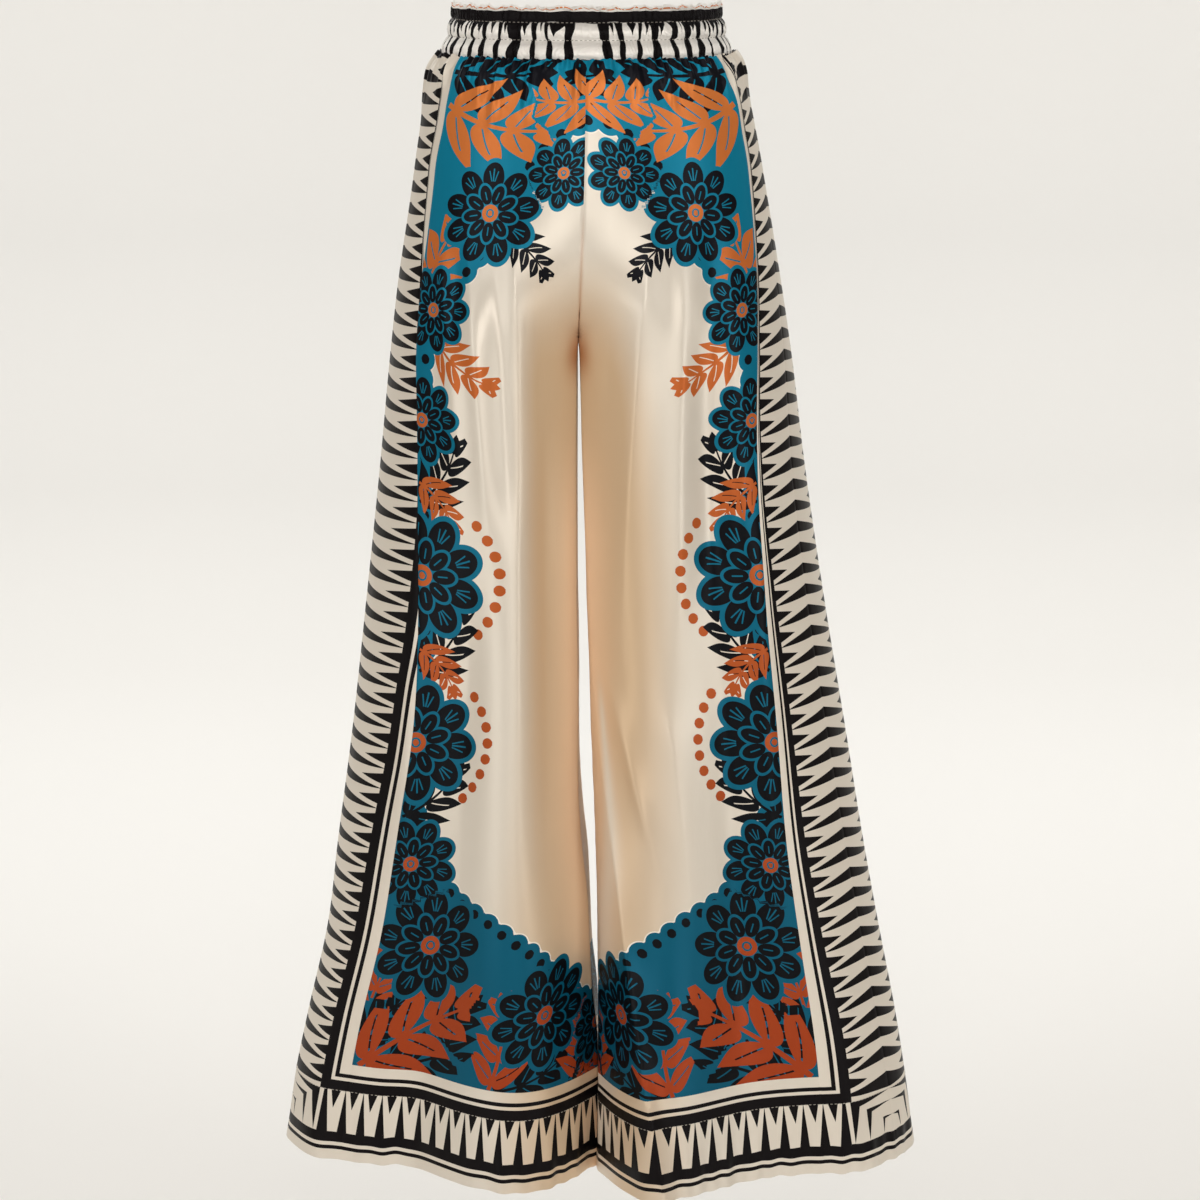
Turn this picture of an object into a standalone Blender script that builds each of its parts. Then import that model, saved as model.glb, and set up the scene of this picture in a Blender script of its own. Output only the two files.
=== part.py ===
"""Palazzo pants with an elasticated paper-bag waist, filled out as if worn.

Metres, +Z up. The origin is the middle of the waist seam, +X is the wearer's left and the front
faces -Y. Every cloth piece is a thin wall that follows one surface: a ring round each leg, which
the two legs share above the crotch. A point of that surface is given by its drop below the waist
seam and by its turn round the leg, from the inseam over the front to the side and on to the back.
"""

import bpy
import numpy as np

# Driving dimensions
LENGTH = 1.030          # waist seam to hem edge
BAND_HEIGHT = 0.0455    # waist seam to the top of the waistband
CROTCH_DROP = 0.262     # waist seam to the crotch
RISE_CURVE = 0.200      # height over which the legs' rings merge above the crotch
CLOTH = 0.0012          # wall of the silk panels
HEM_CLOTH = 0.0024      # wall of the turned-up hem
HEM_DEPTH = 0.066       # height of the turned-up hem
BAND_WALL = 0.0022      # thinnest wall of the waistband, cloth round elastic
SEAM_GAP = 0.0003       # space between neighbouring pieces

# Gathers
BAND_GATHERS = 48       # round the whole waistband
BAND_WAVE = 0.0024      # height of a gather in the band
PATCH_HALF_WIDTH = 0.010  # smooth place at the middle of the band's front
RIPPLES_MAIN = 8        # under the waist seam, on each main panel
RIPPLES_BORDER = 2      # and on each border panel
RIPPLE_WAVE = 0.0015
RIPPLE_DROP = 0.026     # how far down the ripples fade out
POINTS_A_GATHER = 4

# Mesh rows, as drops below the waist seam; the first ones are fine enough for the ripples
RIPPLED_ROWS = (0.0002, 0.005, 0.012, 0.021)
PLAIN_ROWS = (0.036, 0.060, 0.095, 0.135, 0.175, 0.210, 0.240, CROTCH_DROP, 0.285, 0.325, 0.385,
              0.455, 0.530, 0.605, 0.680, 0.750, 0.820, 0.880, 0.930,
              LENGTH - HEM_DEPTH - 0.002, LENGTH - HEM_DEPTH, LENGTH)
COLUMNS_MAIN = RIPPLES_MAIN * POINTS_A_GATHER
COLUMNS_BORDER = RIPPLES_BORDER * POINTS_A_GATHER
BAND_COLUMNS_ROUND = BAND_GATHERS * POINTS_A_GATHER

# Outline of the legs. Edges and inseams are X positions, edges counted outwards.
SECTION_COLUMNS = ("drop", "right_edge", "left_edge", "right_inseam", "left_inseam", "front", "back")
SECTIONS = (
    (0.000, 0.128, 0.129, 0.0000, 0.0000, 0.092, 0.094),
    (0.010, 0.136, 0.136, 0.0000, 0.0000, 0.097, 0.100),
    (0.030, 0.143, 0.143, -0.0005, -0.0005, 0.101, 0.107),
    (0.070, 0.150, 0.152, -0.0010, -0.0010, 0.104, 0.116),
    (0.130, 0.159, 0.163, -0.0025, -0.0025, 0.107, 0.125),
    (0.205, 0.171, 0.176, -0.0045, -0.0045, 0.110, 0.130),
    (0.262, 0.178, 0.185, -0.0064, -0.0054, 0.111, 0.130),
    (0.375, 0.190, 0.200, -0.0083, -0.0028, 0.107, 0.124),
    (0.496, 0.204, 0.219, -0.0085, -0.0006, 0.102, 0.118),
    (0.628, 0.220, 0.242, -0.0082, 0.0054, 0.097, 0.112),
    (0.733, 0.235, 0.260, -0.0003, 0.0072, 0.094, 0.108),
    (0.809, 0.245, 0.2745, 0.0050, 0.0090, 0.092, 0.106),
    (0.907, 0.2675, 0.294, 0.0096, 0.0096, 0.090, 0.104),
    (0.955, 0.278, 0.302, 0.0102, 0.0096, 0.089, 0.104),
    (1.030, 0.2895, 0.3125, 0.0102, 0.0096, 0.088, 0.104),
)

# Seams down each leg, in degrees round it from the inseam
SEAM_COLUMNS = ("drop", "right_panel", "left_panel", "right_side", "left_side")
SEAMS = (
    (0.000, 148, 150, 172, 170),
    (0.054, 148, 155, 172, 172),
    (0.090, 150, 156, 171, 172),
    (0.177, 144, 147, 170, 166),
    (0.249, 135, 133, 170, 158),
    (0.370, 125, 123, 170, 150),
    (0.480, 118, 119, 170, 148),
    (0.600, 116, 117, 171, 148),
    (0.700, 120, 115, 172, 149),
    (0.880, 128, 115, 173, 150),
    (1.030, 129, 114, 173, 151),
)

# Large soft folds: the turn at their top and bottom, half width in degrees, height outwards, and
# the drops where they begin, are full and have faded out, the last beyond the hem if they reach it
FOLD_COLUMNS = ("leg", "top_turn", "low_turn", "half_width", "height", "begin", "full", "end")
FOLDS = (
    ("right", 66, 62, 26, 0.075, 0.22, LENGTH, 2.0),
    ("right", 104, 100, 11, -0.010, 0.50, LENGTH, 2.0),
    ("right", 140, 146, 12, 0.010, 0.60, LENGTH, 2.0),
    ("right", 118, 116, 11, -0.005, 0.10, 0.24, 0.48),
    ("right", 232, 232, 20, 0.018, 0.40, LENGTH, 2.0),
    ("right", 262, 268, 15, -0.014, 0.30, LENGTH, 2.0),
    ("right", 296, 302, 24, 0.050, 0.25, LENGTH, 2.0),
    ("left", 58, 56, 23, 0.078, 0.22, LENGTH, 2.0),
    ("left", 97, 93, 11, -0.008, 0.14, 0.34, 0.66),
    ("left", 14, 36, 10, -0.009, 0.42, 0.80, 2.0),
    ("left", 124, 128, 13, 0.012, 0.60, LENGTH, 2.0),
    ("left", 226, 226, 18, 0.020, 0.40, LENGTH, 2.0),
    ("left", 256, 262, 16, -0.012, 0.30, LENGTH, 2.0),
    ("left", 292, 298, 24, 0.052, 0.25, LENGTH, 2.0),
)
FOLD_GROWTH = 1.1       # power by which a fold grows on its way down
FOLD_SPREAD = 0.3       # share of a fold's height by which it also moves sideways
LEG_SWAY = 0.009        # how far the left leg hangs forward and the right one back, at the hem
SWAY_BEGIN = 0.80       # drop where the legs begin to part so
SWAY_FULL = 0.95
TORSO_SQUARENESS = 0.15  # how much fuller than an ellipse the hips are

# Waistband profile: height over the waist seam, how far in from the seam's own ring, gather height
BAND_COLUMNS = ("height", "inset", "wave")
BAND_PROFILE = (
    (0.0003, 0.0010, 0.35),
    (0.0060, 0.0012, 1.00),
    (0.0125, 0.0040, 1.00),
    (0.0165, 0.0080, 0.30),
    (0.0225, 0.0070, 1.00),
    (0.0290, 0.0085, 0.90),
    (0.0315, 0.0102, 0.30),
    (0.0375, 0.0092, 0.90),
    (BAND_HEIGHT, 0.0096, 1.00),
)


def curve(where, table, columns, name):
    """Value of one named column on a smooth curve through the table's rows, by Hermite steps."""
    rows = np.array(table, dtype=float)
    knots = rows[:, 0]
    values = rows[:, columns.index(name)]
    slopes = np.gradient(values, knots)
    i = np.clip(np.searchsorted(knots, where) - 1, 0, len(knots) - 2)
    step = knots[i + 1] - knots[i]
    t = np.clip((where - knots[i]) / step, 0.0, 1.0)
    start = (2 * t**3 - 3 * t**2 + 1) * values[i] + (t**3 - 2 * t**2 + t) * step * slopes[i]
    end = (3 * t**2 - 2 * t**3) * values[i + 1] + (t**3 - t**2) * step * slopes[i + 1]
    return start + end


def ease(share):
    """Soft step from 0 to 1, flat at both ends."""
    share = np.clip(share, 0.0, 1.0)
    return share * share * (3 - 2 * share)


def overlap(drop):
    """How far the two legs' rings overlap: 0 at the hips, 1 from the crotch down."""
    above = np.clip((CROTCH_DROP - drop) / RISE_CURVE, 0.0, 1.0)
    return (1.0 - above) ** 1.5


def first_turn(drop):
    """Turn at which a leg's ring leaves the middle plane, 0 below the crotch."""
    return np.arccos(np.clip(overlap(drop), 0.0, 1.0))


def leg_surface(leg, turn, drop):
    """Outer face of one leg, from its turn round the leg and its drop, as an array of points.

    Each ring is an ellipse between the inseam and the outer edge, deeper at the back, squarer at
    the hips, with the soft folds added outwards as bell curves that grow towards the hem.
    """
    outwards = 1.0 if leg == "left" else -1.0
    inseam = curve(drop, SECTIONS, SECTION_COLUMNS, leg + "_inseam")
    edge = curve(drop, SECTIONS, SECTION_COLUMNS, leg + "_edge")
    share = overlap(drop)
    radius = (edge - outwards * inseam) / (1.0 + share)
    front = curve(drop, SECTIONS, SECTION_COLUMNS, "front")
    back = curve(drop, SECTIONS, SECTION_COLUMNS, "back")
    depth = np.where(turn < np.pi, front, back)
    sine = np.sin(turn)
    power = 1.0 - TORSO_SQUARENESS * (1.0 - share)
    out = share * radius - radius * np.cos(turn)
    away = -np.sign(sine) * np.abs(sine) ** power * depth
    for row in FOLDS:
        fold = dict(zip(FOLD_COLUMNS, row))
        if fold["leg"] == leg:
            reach = np.clip((drop - fold["begin"]) / (fold["full"] - fold["begin"]), 0.0, 1.0)
            faded = ease((drop - fold["full"]) / (fold["end"] - fold["full"]))
            height = fold["height"] * reach ** FOLD_GROWTH * (1.0 - faded)
            run = (drop - fold["begin"]) / (min(fold["end"], LENGTH) - fold["begin"])
            middle = fold["top_turn"] + (fold["low_turn"] - fold["top_turn"]) * run
            bell = np.exp(-((np.degrees(turn) - middle) / fold["half_width"]) ** 2)
            out = out - FOLD_SPREAD * height * bell * np.cos(turn)
            away = away - height * bell * sine
    away = away - outwards * LEG_SWAY * ease((drop - SWAY_BEGIN) / (SWAY_FULL - SWAY_BEGIN))
    return np.stack([inseam + outwards * out, away, -drop + 0.0 * turn], axis=-1)


def outward_normals(leg, turn, drop):
    """Unit normals of the leg surface, from small steps round the leg and down it."""
    step = 1e-4
    floor = first_turn(drop)
    before = np.clip(turn - step, floor, 2 * np.pi - floor)
    after = np.clip(turn + step, floor, 2 * np.pi - floor)
    above = np.clip(drop - step, 0.0, LENGTH)
    below = np.clip(drop + step, 0.0, LENGTH)
    round_leg = leg_surface(leg, after, drop) - leg_surface(leg, before, drop)
    down_leg = leg_surface(leg, turn, below) - leg_surface(leg, turn, above)
    normal = np.cross(down_leg, round_leg)
    normal = normal / np.linalg.norm(normal, axis=-1, keepdims=True)
    return normal if leg == "left" else -normal


def seam_turn(leg, which, drop):
    """Turn of a seam down the leg: the inseam, panel or side seam, at the front or the back."""
    side = np.radians(curve(drop, SEAMS, SEAM_COLUMNS, leg + "_side"))
    panel = np.radians(curve(drop, SEAMS, SEAM_COLUMNS, leg + "_panel"))
    return {
        "front_inseam": first_turn(drop),
        "front_panel": panel,
        "side": side,
        "back_panel": 2 * side - panel,
        "back_inseam": 2 * np.pi - first_turn(drop),
    }[which]


def panel_points(leg, start, end, drops, columns, ripples):
    """Outer and inner points of a cloth panel between two seams, a row for each drop."""
    drop = np.array(drops)[:, None] + np.zeros(columns + 1)
    share = np.linspace(0.0, 1.0, columns + 1) + np.zeros_like(drop)
    first = seam_turn(leg, start, drop)
    last = seam_turn(leg, end, drop)
    turn = first + share * (last - first)
    points = leg_surface(leg, turn, drop)
    normal = outward_normals(leg, turn, drop)
    along = np.gradient(points, axis=1)
    along = along / np.linalg.norm(along, axis=-1, keepdims=True)
    points[:, 0] += along[:, 0] * SEAM_GAP / 2
    points[:, -1] -= along[:, -1] * SEAM_GAP / 2
    fade = np.clip(1.0 - drop / RIPPLE_DROP, 0.0, 1.0)
    ripple = RIPPLE_WAVE * fade * np.sin(share * ripples * 2 * np.pi)
    points = points + normal * ripple[..., None]
    wall = np.where(drop > LENGTH - HEM_DEPTH - 1e-6, HEM_CLOTH, CLOTH)
    return points, points - normal * wall[..., None]


def sheet_faces(start, rows, columns, facing):
    """Quads of a grid of points numbered from start, wound one way or the other."""
    faces = []
    for row in range(rows - 1):
        for column in range(columns - 1):
            a = start + row * columns + column
            quad = [a, a + 1, a + columns + 1, a + columns]
            faces.append(quad if facing else quad[::-1])
    return faces


def make_object(name, points, faces, material):
    """Mesh object with one material, shaded smooth."""
    mesh = bpy.data.meshes.new(name)
    mesh.from_pydata([tuple(point) for point in points], [], faces)
    mesh.materials.append(material)
    mesh.shade_smooth()
    obj = bpy.data.objects.new(name, mesh)
    bpy.context.scene.collection.objects.link(obj)
    return obj


def make_panel(name, leg, start, end, columns, ripples, material):
    """Closed wall between two seams. Fine rippled rows on top meet rows of half as many columns."""
    fine = panel_points(leg, start, end, RIPPLED_ROWS, columns, ripples)
    plain = panel_points(leg, start, end, PLAIN_ROWS, columns // 2, 0)
    fine_width = columns + 1
    plain_width = columns // 2 + 1
    fine_count = len(RIPPLED_ROWS) * fine_width
    layer_count = fine_count + len(PLAIN_ROWS) * plain_width
    points = np.concatenate([part.reshape(-1, 3) for part in (fine[0], plain[0], fine[1], plain[1])])
    facing = leg == "right"
    faces = []
    for layer, turned in ((0, facing), (layer_count, not facing)):
        faces += sheet_faces(layer, len(RIPPLED_ROWS), fine_width, turned)
        faces += sheet_faces(layer + fine_count, len(PLAIN_ROWS), plain_width, turned)
        last_fine = layer + fine_count - fine_width
        first_plain = layer + fine_count
        for column in range(plain_width - 1):
            a = last_fine + 2 * column
            b = first_plain + column
            join = [a, a + 1, a + 2, b + 1, b]
            faces.append(join if turned else join[::-1])
    outline = list(range(fine_width))
    outline += [row * fine_width + fine_width - 1 for row in range(1, len(RIPPLED_ROWS))]
    outline += [fine_count + row * plain_width + plain_width - 1 for row in range(len(PLAIN_ROWS))]
    outline += [layer_count - 1 - step for step in range(1, plain_width)]
    outline += [fine_count + row * plain_width for row in range(len(PLAIN_ROWS) - 2, -1, -1)]
    outline += [row * fine_width for row in range(len(RIPPLED_ROWS) - 1, 0, -1)]
    for a, b in zip(outline, outline[1:] + outline[:1]):
        edge = [b, a, a + layer_count, b + layer_count]
        faces.append(edge if facing else edge[::-1])
    return make_object(name, points, faces, material)


def band_ring(height, inset, wave):
    """Points round the waistband, inset from the waist seam's ring, waved outwards by gathers."""
    angle = np.arange(BAND_COLUMNS_ROUND) * 2 * np.pi / BAND_COLUMNS_ROUND
    sine = np.sin(angle)
    half_width = 0.5 * (curve(0.0, SECTIONS, SECTION_COLUMNS, "right_edge")
                        + curve(0.0, SECTIONS, SECTION_COLUMNS, "left_edge"))
    back = curve(0.0, SECTIONS, SECTION_COLUMNS, "back")
    front = curve(0.0, SECTIONS, SECTION_COLUMNS, "front")
    depth = np.where(sine > 0, back, front)
    x = (half_width - inset) * np.cos(angle)
    y = (depth - inset) * np.sign(sine) * np.abs(sine) ** (1.0 - TORSO_SQUARENESS)
    gather = 0.5 + 0.5 * np.sin(angle * BAND_GATHERS)
    gather = np.where((np.abs(x) < PATCH_HALF_WIDTH) & (y < 0), 0.6, gather)
    reach = BAND_WAVE * wave * gather
    x = x + reach * np.cos(angle)
    y = y + reach * sine
    return np.column_stack([x, y, np.full(BAND_COLUMNS_ROUND, height)])


def make_waistband(name, material):
    """Ring of cloth round two elastics: three puffed rows between stitched lines, plain inside."""
    profile = [dict(zip(BAND_COLUMNS, row)) for row in BAND_PROFILE]
    sewn = [ring for ring in profile if ring["wave"] < 0.5]
    rings = [band_ring(ring["height"], ring["inset"], ring["wave"]) for ring in profile]
    for ring in [profile[-1]] + sewn[::-1]:
        rings.append(band_ring(ring["height"], ring["inset"] + BAND_WALL, 0.0))
    faces = []
    for row in range(len(rings)):
        lower = row * BAND_COLUMNS_ROUND
        upper = (row + 1) % len(rings) * BAND_COLUMNS_ROUND
        for column in range(BAND_COLUMNS_ROUND):
            right = (column + 1) % BAND_COLUMNS_ROUND
            faces.append([lower + column, lower + right, upper + right, upper + column])
    return make_object(name, np.concatenate(rings), faces, material)


def make_material(name, colour, roughness):
    """Principled material of one plain colour."""
    material = bpy.data.materials.new(name)
    material.use_nodes = True
    shader = material.node_tree.nodes["Principled BSDF"]
    shader.inputs["Base Color"].default_value = (*colour, 1.0)
    shader.inputs["Roughness"].default_value = roughness
    shader.inputs["Metallic"].default_value = 0.0
    return material


for old in list(bpy.data.objects):
    bpy.data.objects.remove(old, do_unlink=True)

silk = make_material("cream_silk", (0.83, 0.76, 0.64), 0.42)
border_silk = make_material("border_silk", (0.55, 0.50, 0.43), 0.45)
band_silk = make_material("striped_silk", (0.50, 0.46, 0.40), 0.50)

make_waistband("waistband", band_silk)
for leg in ("right", "left"):
    make_panel(leg + "_front_panel", leg, "front_inseam", "front_panel",
               COLUMNS_MAIN, RIPPLES_MAIN, silk)
    make_panel(leg + "_front_border", leg, "front_panel", "side",
               COLUMNS_BORDER, RIPPLES_BORDER, border_silk)
    make_panel(leg + "_back_border", leg, "side", "back_panel",
               COLUMNS_BORDER, RIPPLES_BORDER, border_silk)
    make_panel(leg + "_back_panel", leg, "back_panel", "back_inseam",
               COLUMNS_MAIN, RIPPLES_MAIN, silk)
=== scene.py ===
"""Palazzo pants of printed silk satin with a gathered elastic waist, filled out as if worn.

Metres, +Z up. The origin is the middle of the waist seam, +X is the wearer's left and the front
faces -Y. The cloth follows one surface: a ring round each leg, which the two legs share above the
crotch. A point of it is given by its drop below the waist seam and by its turn round the leg,
from the inseam over the front to the side and on to the back.
"""

import bpy
import numpy as np
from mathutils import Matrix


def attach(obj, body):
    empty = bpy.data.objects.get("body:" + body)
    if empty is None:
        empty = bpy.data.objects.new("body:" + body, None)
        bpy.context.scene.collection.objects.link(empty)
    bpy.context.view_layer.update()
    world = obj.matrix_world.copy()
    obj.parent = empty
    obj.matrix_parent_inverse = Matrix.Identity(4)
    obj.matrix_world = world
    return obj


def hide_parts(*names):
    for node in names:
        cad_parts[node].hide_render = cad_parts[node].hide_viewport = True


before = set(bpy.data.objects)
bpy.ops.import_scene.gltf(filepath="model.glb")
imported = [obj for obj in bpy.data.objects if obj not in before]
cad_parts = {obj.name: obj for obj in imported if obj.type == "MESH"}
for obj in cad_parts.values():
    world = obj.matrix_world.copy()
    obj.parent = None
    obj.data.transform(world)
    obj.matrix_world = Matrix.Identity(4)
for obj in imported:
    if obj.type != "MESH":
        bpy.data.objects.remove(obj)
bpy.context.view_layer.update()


# Main panels, a front and a back one for each leg: printed silk satin, cut wide at the hem, sewn
# together along the middle seam and the inseam, gathered into the waistband at the top, with
# the hem turned up and stitched. Their form is the leg's ring with soft folds and creases.

LENGTH = 1.030              # waist seam to hem edge
CROTCH_DROP = 0.246         # waist seam to the crotch
RISE_CURVE = 0.140          # height over which the legs' rings merge above the crotch
RISE_SOFTNESS = 0.030       # half the height over which that merging sets in
RISE_POWER = 1.5            # power of the curve by which they merge
GAP_RISE = 0.012            # height over which the gap between the legs opens
HEM_DEPTH = 0.066           # height of the turned-up hem
CLOTH = 0.0012              # thickness of the wall, and of the wall at the turned-up hem
HEM_CLOTH = 0.0024

# Outline of the legs: X of their outer edges, counted outwards, and how far they reach in Y
SECTIONS = (
    ("drop", "right_edge", "left_edge", "front", "back"),
    (0.000, 0.128, 0.129, 0.092, 0.094),
    (0.010, 0.136, 0.136, 0.097, 0.100),
    (0.030, 0.143, 0.143, 0.101, 0.107),
    (0.070, 0.150, 0.152, 0.104, 0.116),
    (0.130, 0.159, 0.163, 0.107, 0.125),
    (0.205, 0.171, 0.176, 0.110, 0.130),
    (0.262, 0.178, 0.185, 0.111, 0.130),
    (0.375, 0.190, 0.200, 0.107, 0.124),
    (0.496, 0.204, 0.219, 0.102, 0.118),
    (0.628, 0.220, 0.242, 0.097, 0.112),
    (0.733, 0.235, 0.260, 0.094, 0.108),
    (0.809, 0.245, 0.2745, 0.092, 0.106),
    (0.907, 0.2675, 0.294, 0.090, 0.104),
    (0.955, 0.278, 0.302, 0.089, 0.104),
    (1.030, 0.2895, 0.3125, 0.088, 0.104),
)

# X of the middle seam and of both legs' inseams
INSEAMS = (
    ("drop", "right", "left"),
    (0.000, 0.0000, 0.0000),
    (0.030, -0.0005, -0.0005),
    (0.070, -0.0010, -0.0010),
    (0.130, -0.0025, -0.0025),
    (0.205, -0.0055, -0.0055),
    (0.246, -0.0073, -0.0070),
    (0.262, -0.0085, -0.0062),
    (0.290, -0.0089, -0.0053),
    (0.334, -0.0092, -0.0040),
    (0.380, -0.0096, -0.0022),
    (0.430, -0.0098, -0.0004),
    (0.490, -0.0098, 0.0010),
    (0.530, -0.0092, 0.0026),
    (0.580, -0.0088, 0.0044),
    (0.626, -0.0092, 0.0066),
    (0.670, -0.0086, 0.0082),
    (0.716, -0.0055, 0.0092),
    (0.762, -0.0004, 0.0100),
    (0.807, 0.0018, 0.0102),
    (0.854, 0.0038, 0.0104),
    (0.905, 0.0092, 0.0102),
    (0.955, 0.0100, 0.0100),
    (1.030, 0.0100, 0.0098),
)

# Seams down each leg, in degrees round it from the inseam
SEAMS = (
    ("drop", "right_panel", "left_panel", "right_side", "left_side"),
    (0.000, 148, 150, 172, 170),
    (0.054, 148, 155, 172, 172),
    (0.090, 150, 156, 171, 172),
    (0.177, 144, 147, 170, 166),
    (0.249, 135, 133, 170, 158),
    (0.370, 125, 123, 170, 150),
    (0.480, 118, 119, 170, 148),
    (0.600, 116, 117, 171, 148),
    (0.700, 120, 115, 172, 149),
    (0.880, 128, 115, 173, 150),
    (1.030, 129, 114, 173, 151),
)

# Large soft folds, in degrees round the leg, and the drops where they begin, are full and end
FOLDS = (
    ("leg", "top_turn", "low_turn", "half_width", "height", "begin", "full", "end"),
    ("right", 66, 62, 26, 0.075, 0.22, LENGTH, 2.0),
    ("right", 104, 100, 11, -0.010, 0.50, LENGTH, 2.0),
    ("right", 140, 146, 12, 0.010, 0.60, LENGTH, 2.0),
    ("right", 118, 116, 11, -0.005, 0.10, 0.24, 0.48),
    ("right", 232, 232, 20, 0.018, 0.40, LENGTH, 2.0),
    ("right", 262, 268, 15, -0.014, 0.30, LENGTH, 2.0),
    ("right", 296, 302, 24, 0.050, 0.25, LENGTH, 2.0),
    ("left", 58, 56, 23, 0.078, 0.22, LENGTH, 2.0),
    ("left", 97, 93, 11, -0.008, 0.14, 0.34, 0.66),
    ("left", 14, 36, 10, -0.009, 0.42, 0.80, 2.0),
    ("left", 124, 128, 13, 0.012, 0.60, LENGTH, 2.0),
    ("left", 226, 226, 18, 0.020, 0.40, LENGTH, 2.0),
    ("left", 256, 262, 16, -0.012, 0.30, LENGTH, 2.0),
    ("left", 292, 298, 24, 0.052, 0.25, LENGTH, 2.0),
)
BACK_BORDER_WIDTH = {"right": 1.0, "left": 1.2}     # in turns, against the front border's
FOLD_GROWTH = 1.1           # power by which a fold grows on its way down
FOLD_SPREAD = 0.3           # share of its height by which a fold also moves the cloth sideways
LEG_SWAY = 0.009            # how far one leg swings forward and the other back at the hem
SWAY_BEGIN = 0.80
SWAY_FULL = 0.95
TORSO_SQUARENESS = 0.15     # how much fuller the hips are than an ellipse
INNER_SQUARENESS = 0.50     # how much fuller the inner legs are than an ellipse
INNER_EDGE_TURN = np.radians(30)    # where their soft edge hangs, and over what it fades
INNER_EDGE_FADE = np.radians(30)
INNER_EDGE_SOFTNESS = 0.03      # how softly it sets in above the crotch
INNER_HOLLOW = 0.005            # hollow between the edges, and over what height it opens
INNER_HOLLOW_RISE = 0.04

# Creases: X at their top and bottom, how far they reach to lower and higher X, how crisp the crest
# is (1 sharp, 2 soft), height outwards, and the drops where they begin, are full, fade and end
CREASES = (
    ("leg", "face", "top_x", "low_x", "low_reach", "high_reach", "crest", "height",
     "begin", "full", "fade", "end"),
    ("right", "front", -0.062, -0.064, 0.040, 0.026, 1.15, 0.0115, 0.12, 0.24, 0.50, 0.86),
    ("right", "front", -0.131, -0.110, 0.008, 0.008, 1.60, 0.0042, 0.12, 0.20, 0.26, 0.38),
    ("right", "front", -0.105, -0.083, 0.010, 0.010, 1.60, 0.0044, 0.13, 0.22, 0.33, 0.46),
    ("right", "front", -0.080, -0.067, 0.008, 0.008, 1.80, -0.0036, 0.15, 0.24, 0.34, 0.45),
    ("right", "front", -0.038, -0.034, 0.011, 0.011, 1.80, -0.0050, 0.30, 0.42, 0.62, 0.82),
    ("right", "front", -0.018, -0.014, 0.007, 0.007, 1.60, 0.0030, 0.34, 0.45, 0.62, 0.76),
    ("right", "front", -0.100, -0.128, 0.016, 0.016, 1.80, -0.0040, 0.42, 0.56, 0.74, 0.95),
    ("right", "front", -0.150, -0.172, 0.014, 0.018, 1.70, 0.0040, 0.30, 0.48, 0.70, 0.95),
    ("left", "front", 0.057, 0.028, 0.026, 0.034, 1.20, 0.0095, 0.12, 0.22, 0.34, 0.56),
    ("left", "front", 0.111, 0.116, 0.015, 0.015, 1.90, -0.0052, 0.10, 0.20, 0.36, 0.52),
    ("left", "front", 0.086, 0.080, 0.010, 0.012, 1.70, 0.0036, 0.14, 0.24, 0.40, 0.60),
    ("left", "front", -0.006, 0.006, 0.005, 0.005, 1.60, 0.0030, 0.28, 0.36, 0.48, 0.58),
    ("left", "front", -0.001, 0.094, 0.028, 0.007, 1.10, 0.0150, 0.50, 0.66, 0.95, 1.20),
    ("left", "front", 0.014, 0.074, 0.007, 0.008, 1.60, 0.0040, 0.53, 0.60, 0.66, 0.76),
    ("left", "front", 0.070, 0.100, 0.009, 0.030, 1.50, 0.0045, 0.55, 0.62, 0.68, 0.80),
    ("left", "front", 0.120, 0.150, 0.016, 0.016, 1.80, -0.0042, 0.46, 0.60, 0.76, 0.95),
    ("left", "front", 0.150, 0.178, 0.016, 0.014, 1.70, 0.0040, 0.32, 0.48, 0.70, 0.95),
    ("right", "back", -0.050, -0.070, 0.040, 0.026, 1.25, 0.0095, 0.14, 0.26, 0.46, 0.80),
    ("right", "back", -0.110, -0.086, 0.010, 0.010, 1.60, 0.0042, 0.12, 0.22, 0.30, 0.44),
    ("right", "back", -0.030, -0.058, 0.009, 0.012, 1.60, -0.0042, 0.24, 0.32, 0.50, 0.72),
    ("right", "back", -0.120, -0.150, 0.014, 0.014, 1.80, -0.0044, 0.30, 0.45, 0.62, 0.85),
    ("right", "back", -0.020, -0.012, 0.008, 0.008, 1.60, 0.0030, 0.36, 0.46, 0.60, 0.78),
    ("left", "back", 0.055, 0.078, 0.026, 0.042, 1.25, 0.0095, 0.14, 0.26, 0.50, 0.84),
    ("left", "back", 0.112, 0.092, 0.010, 0.010, 1.60, 0.0040, 0.12, 0.20, 0.32, 0.46),
    ("left", "back", 0.026, 0.050, 0.012, 0.009, 1.60, -0.0044, 0.26, 0.34, 0.46, 0.70),
    ("left", "back", 0.130, 0.162, 0.014, 0.014, 1.80, -0.0046, 0.34, 0.48, 0.66, 0.90),
    ("left", "back", 0.014, 0.024, 0.008, 0.008, 1.60, 0.0030, 0.40, 0.50, 0.66, 0.80),
)

# Gathers under the waist seam, uneven in spacing, height and length
GATHER_SPACING = 2.9        # mean, in degrees round a leg
GATHER_HEIGHT = 0.0040
GATHER_LENGTHS = (0.012, 0.075)
GATHER_SPREAD = 0.03        # drop at which a gather is twice as wide as at the top
GATHER_FIRST = 90           # turn of the first one, and the degrees that they take up
GATHER_SPAN = 180
GATHER_SEED = 7

SEAM_DIP = 0.0004           # how deep the cloth dips along a seam, and how wide
SEAM_DIP_WIDTH = 0.0014
HEM_WOBBLE = 0.0009         # the hem edge's own small waves
HEM_WOBBLE_REACH = 0.045
HEM_WAVES = (150, 90)       # radians of those waves to a metre of X and of Y
HEM_LIFT = 0.0006           # and how far they lift the edge

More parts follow.
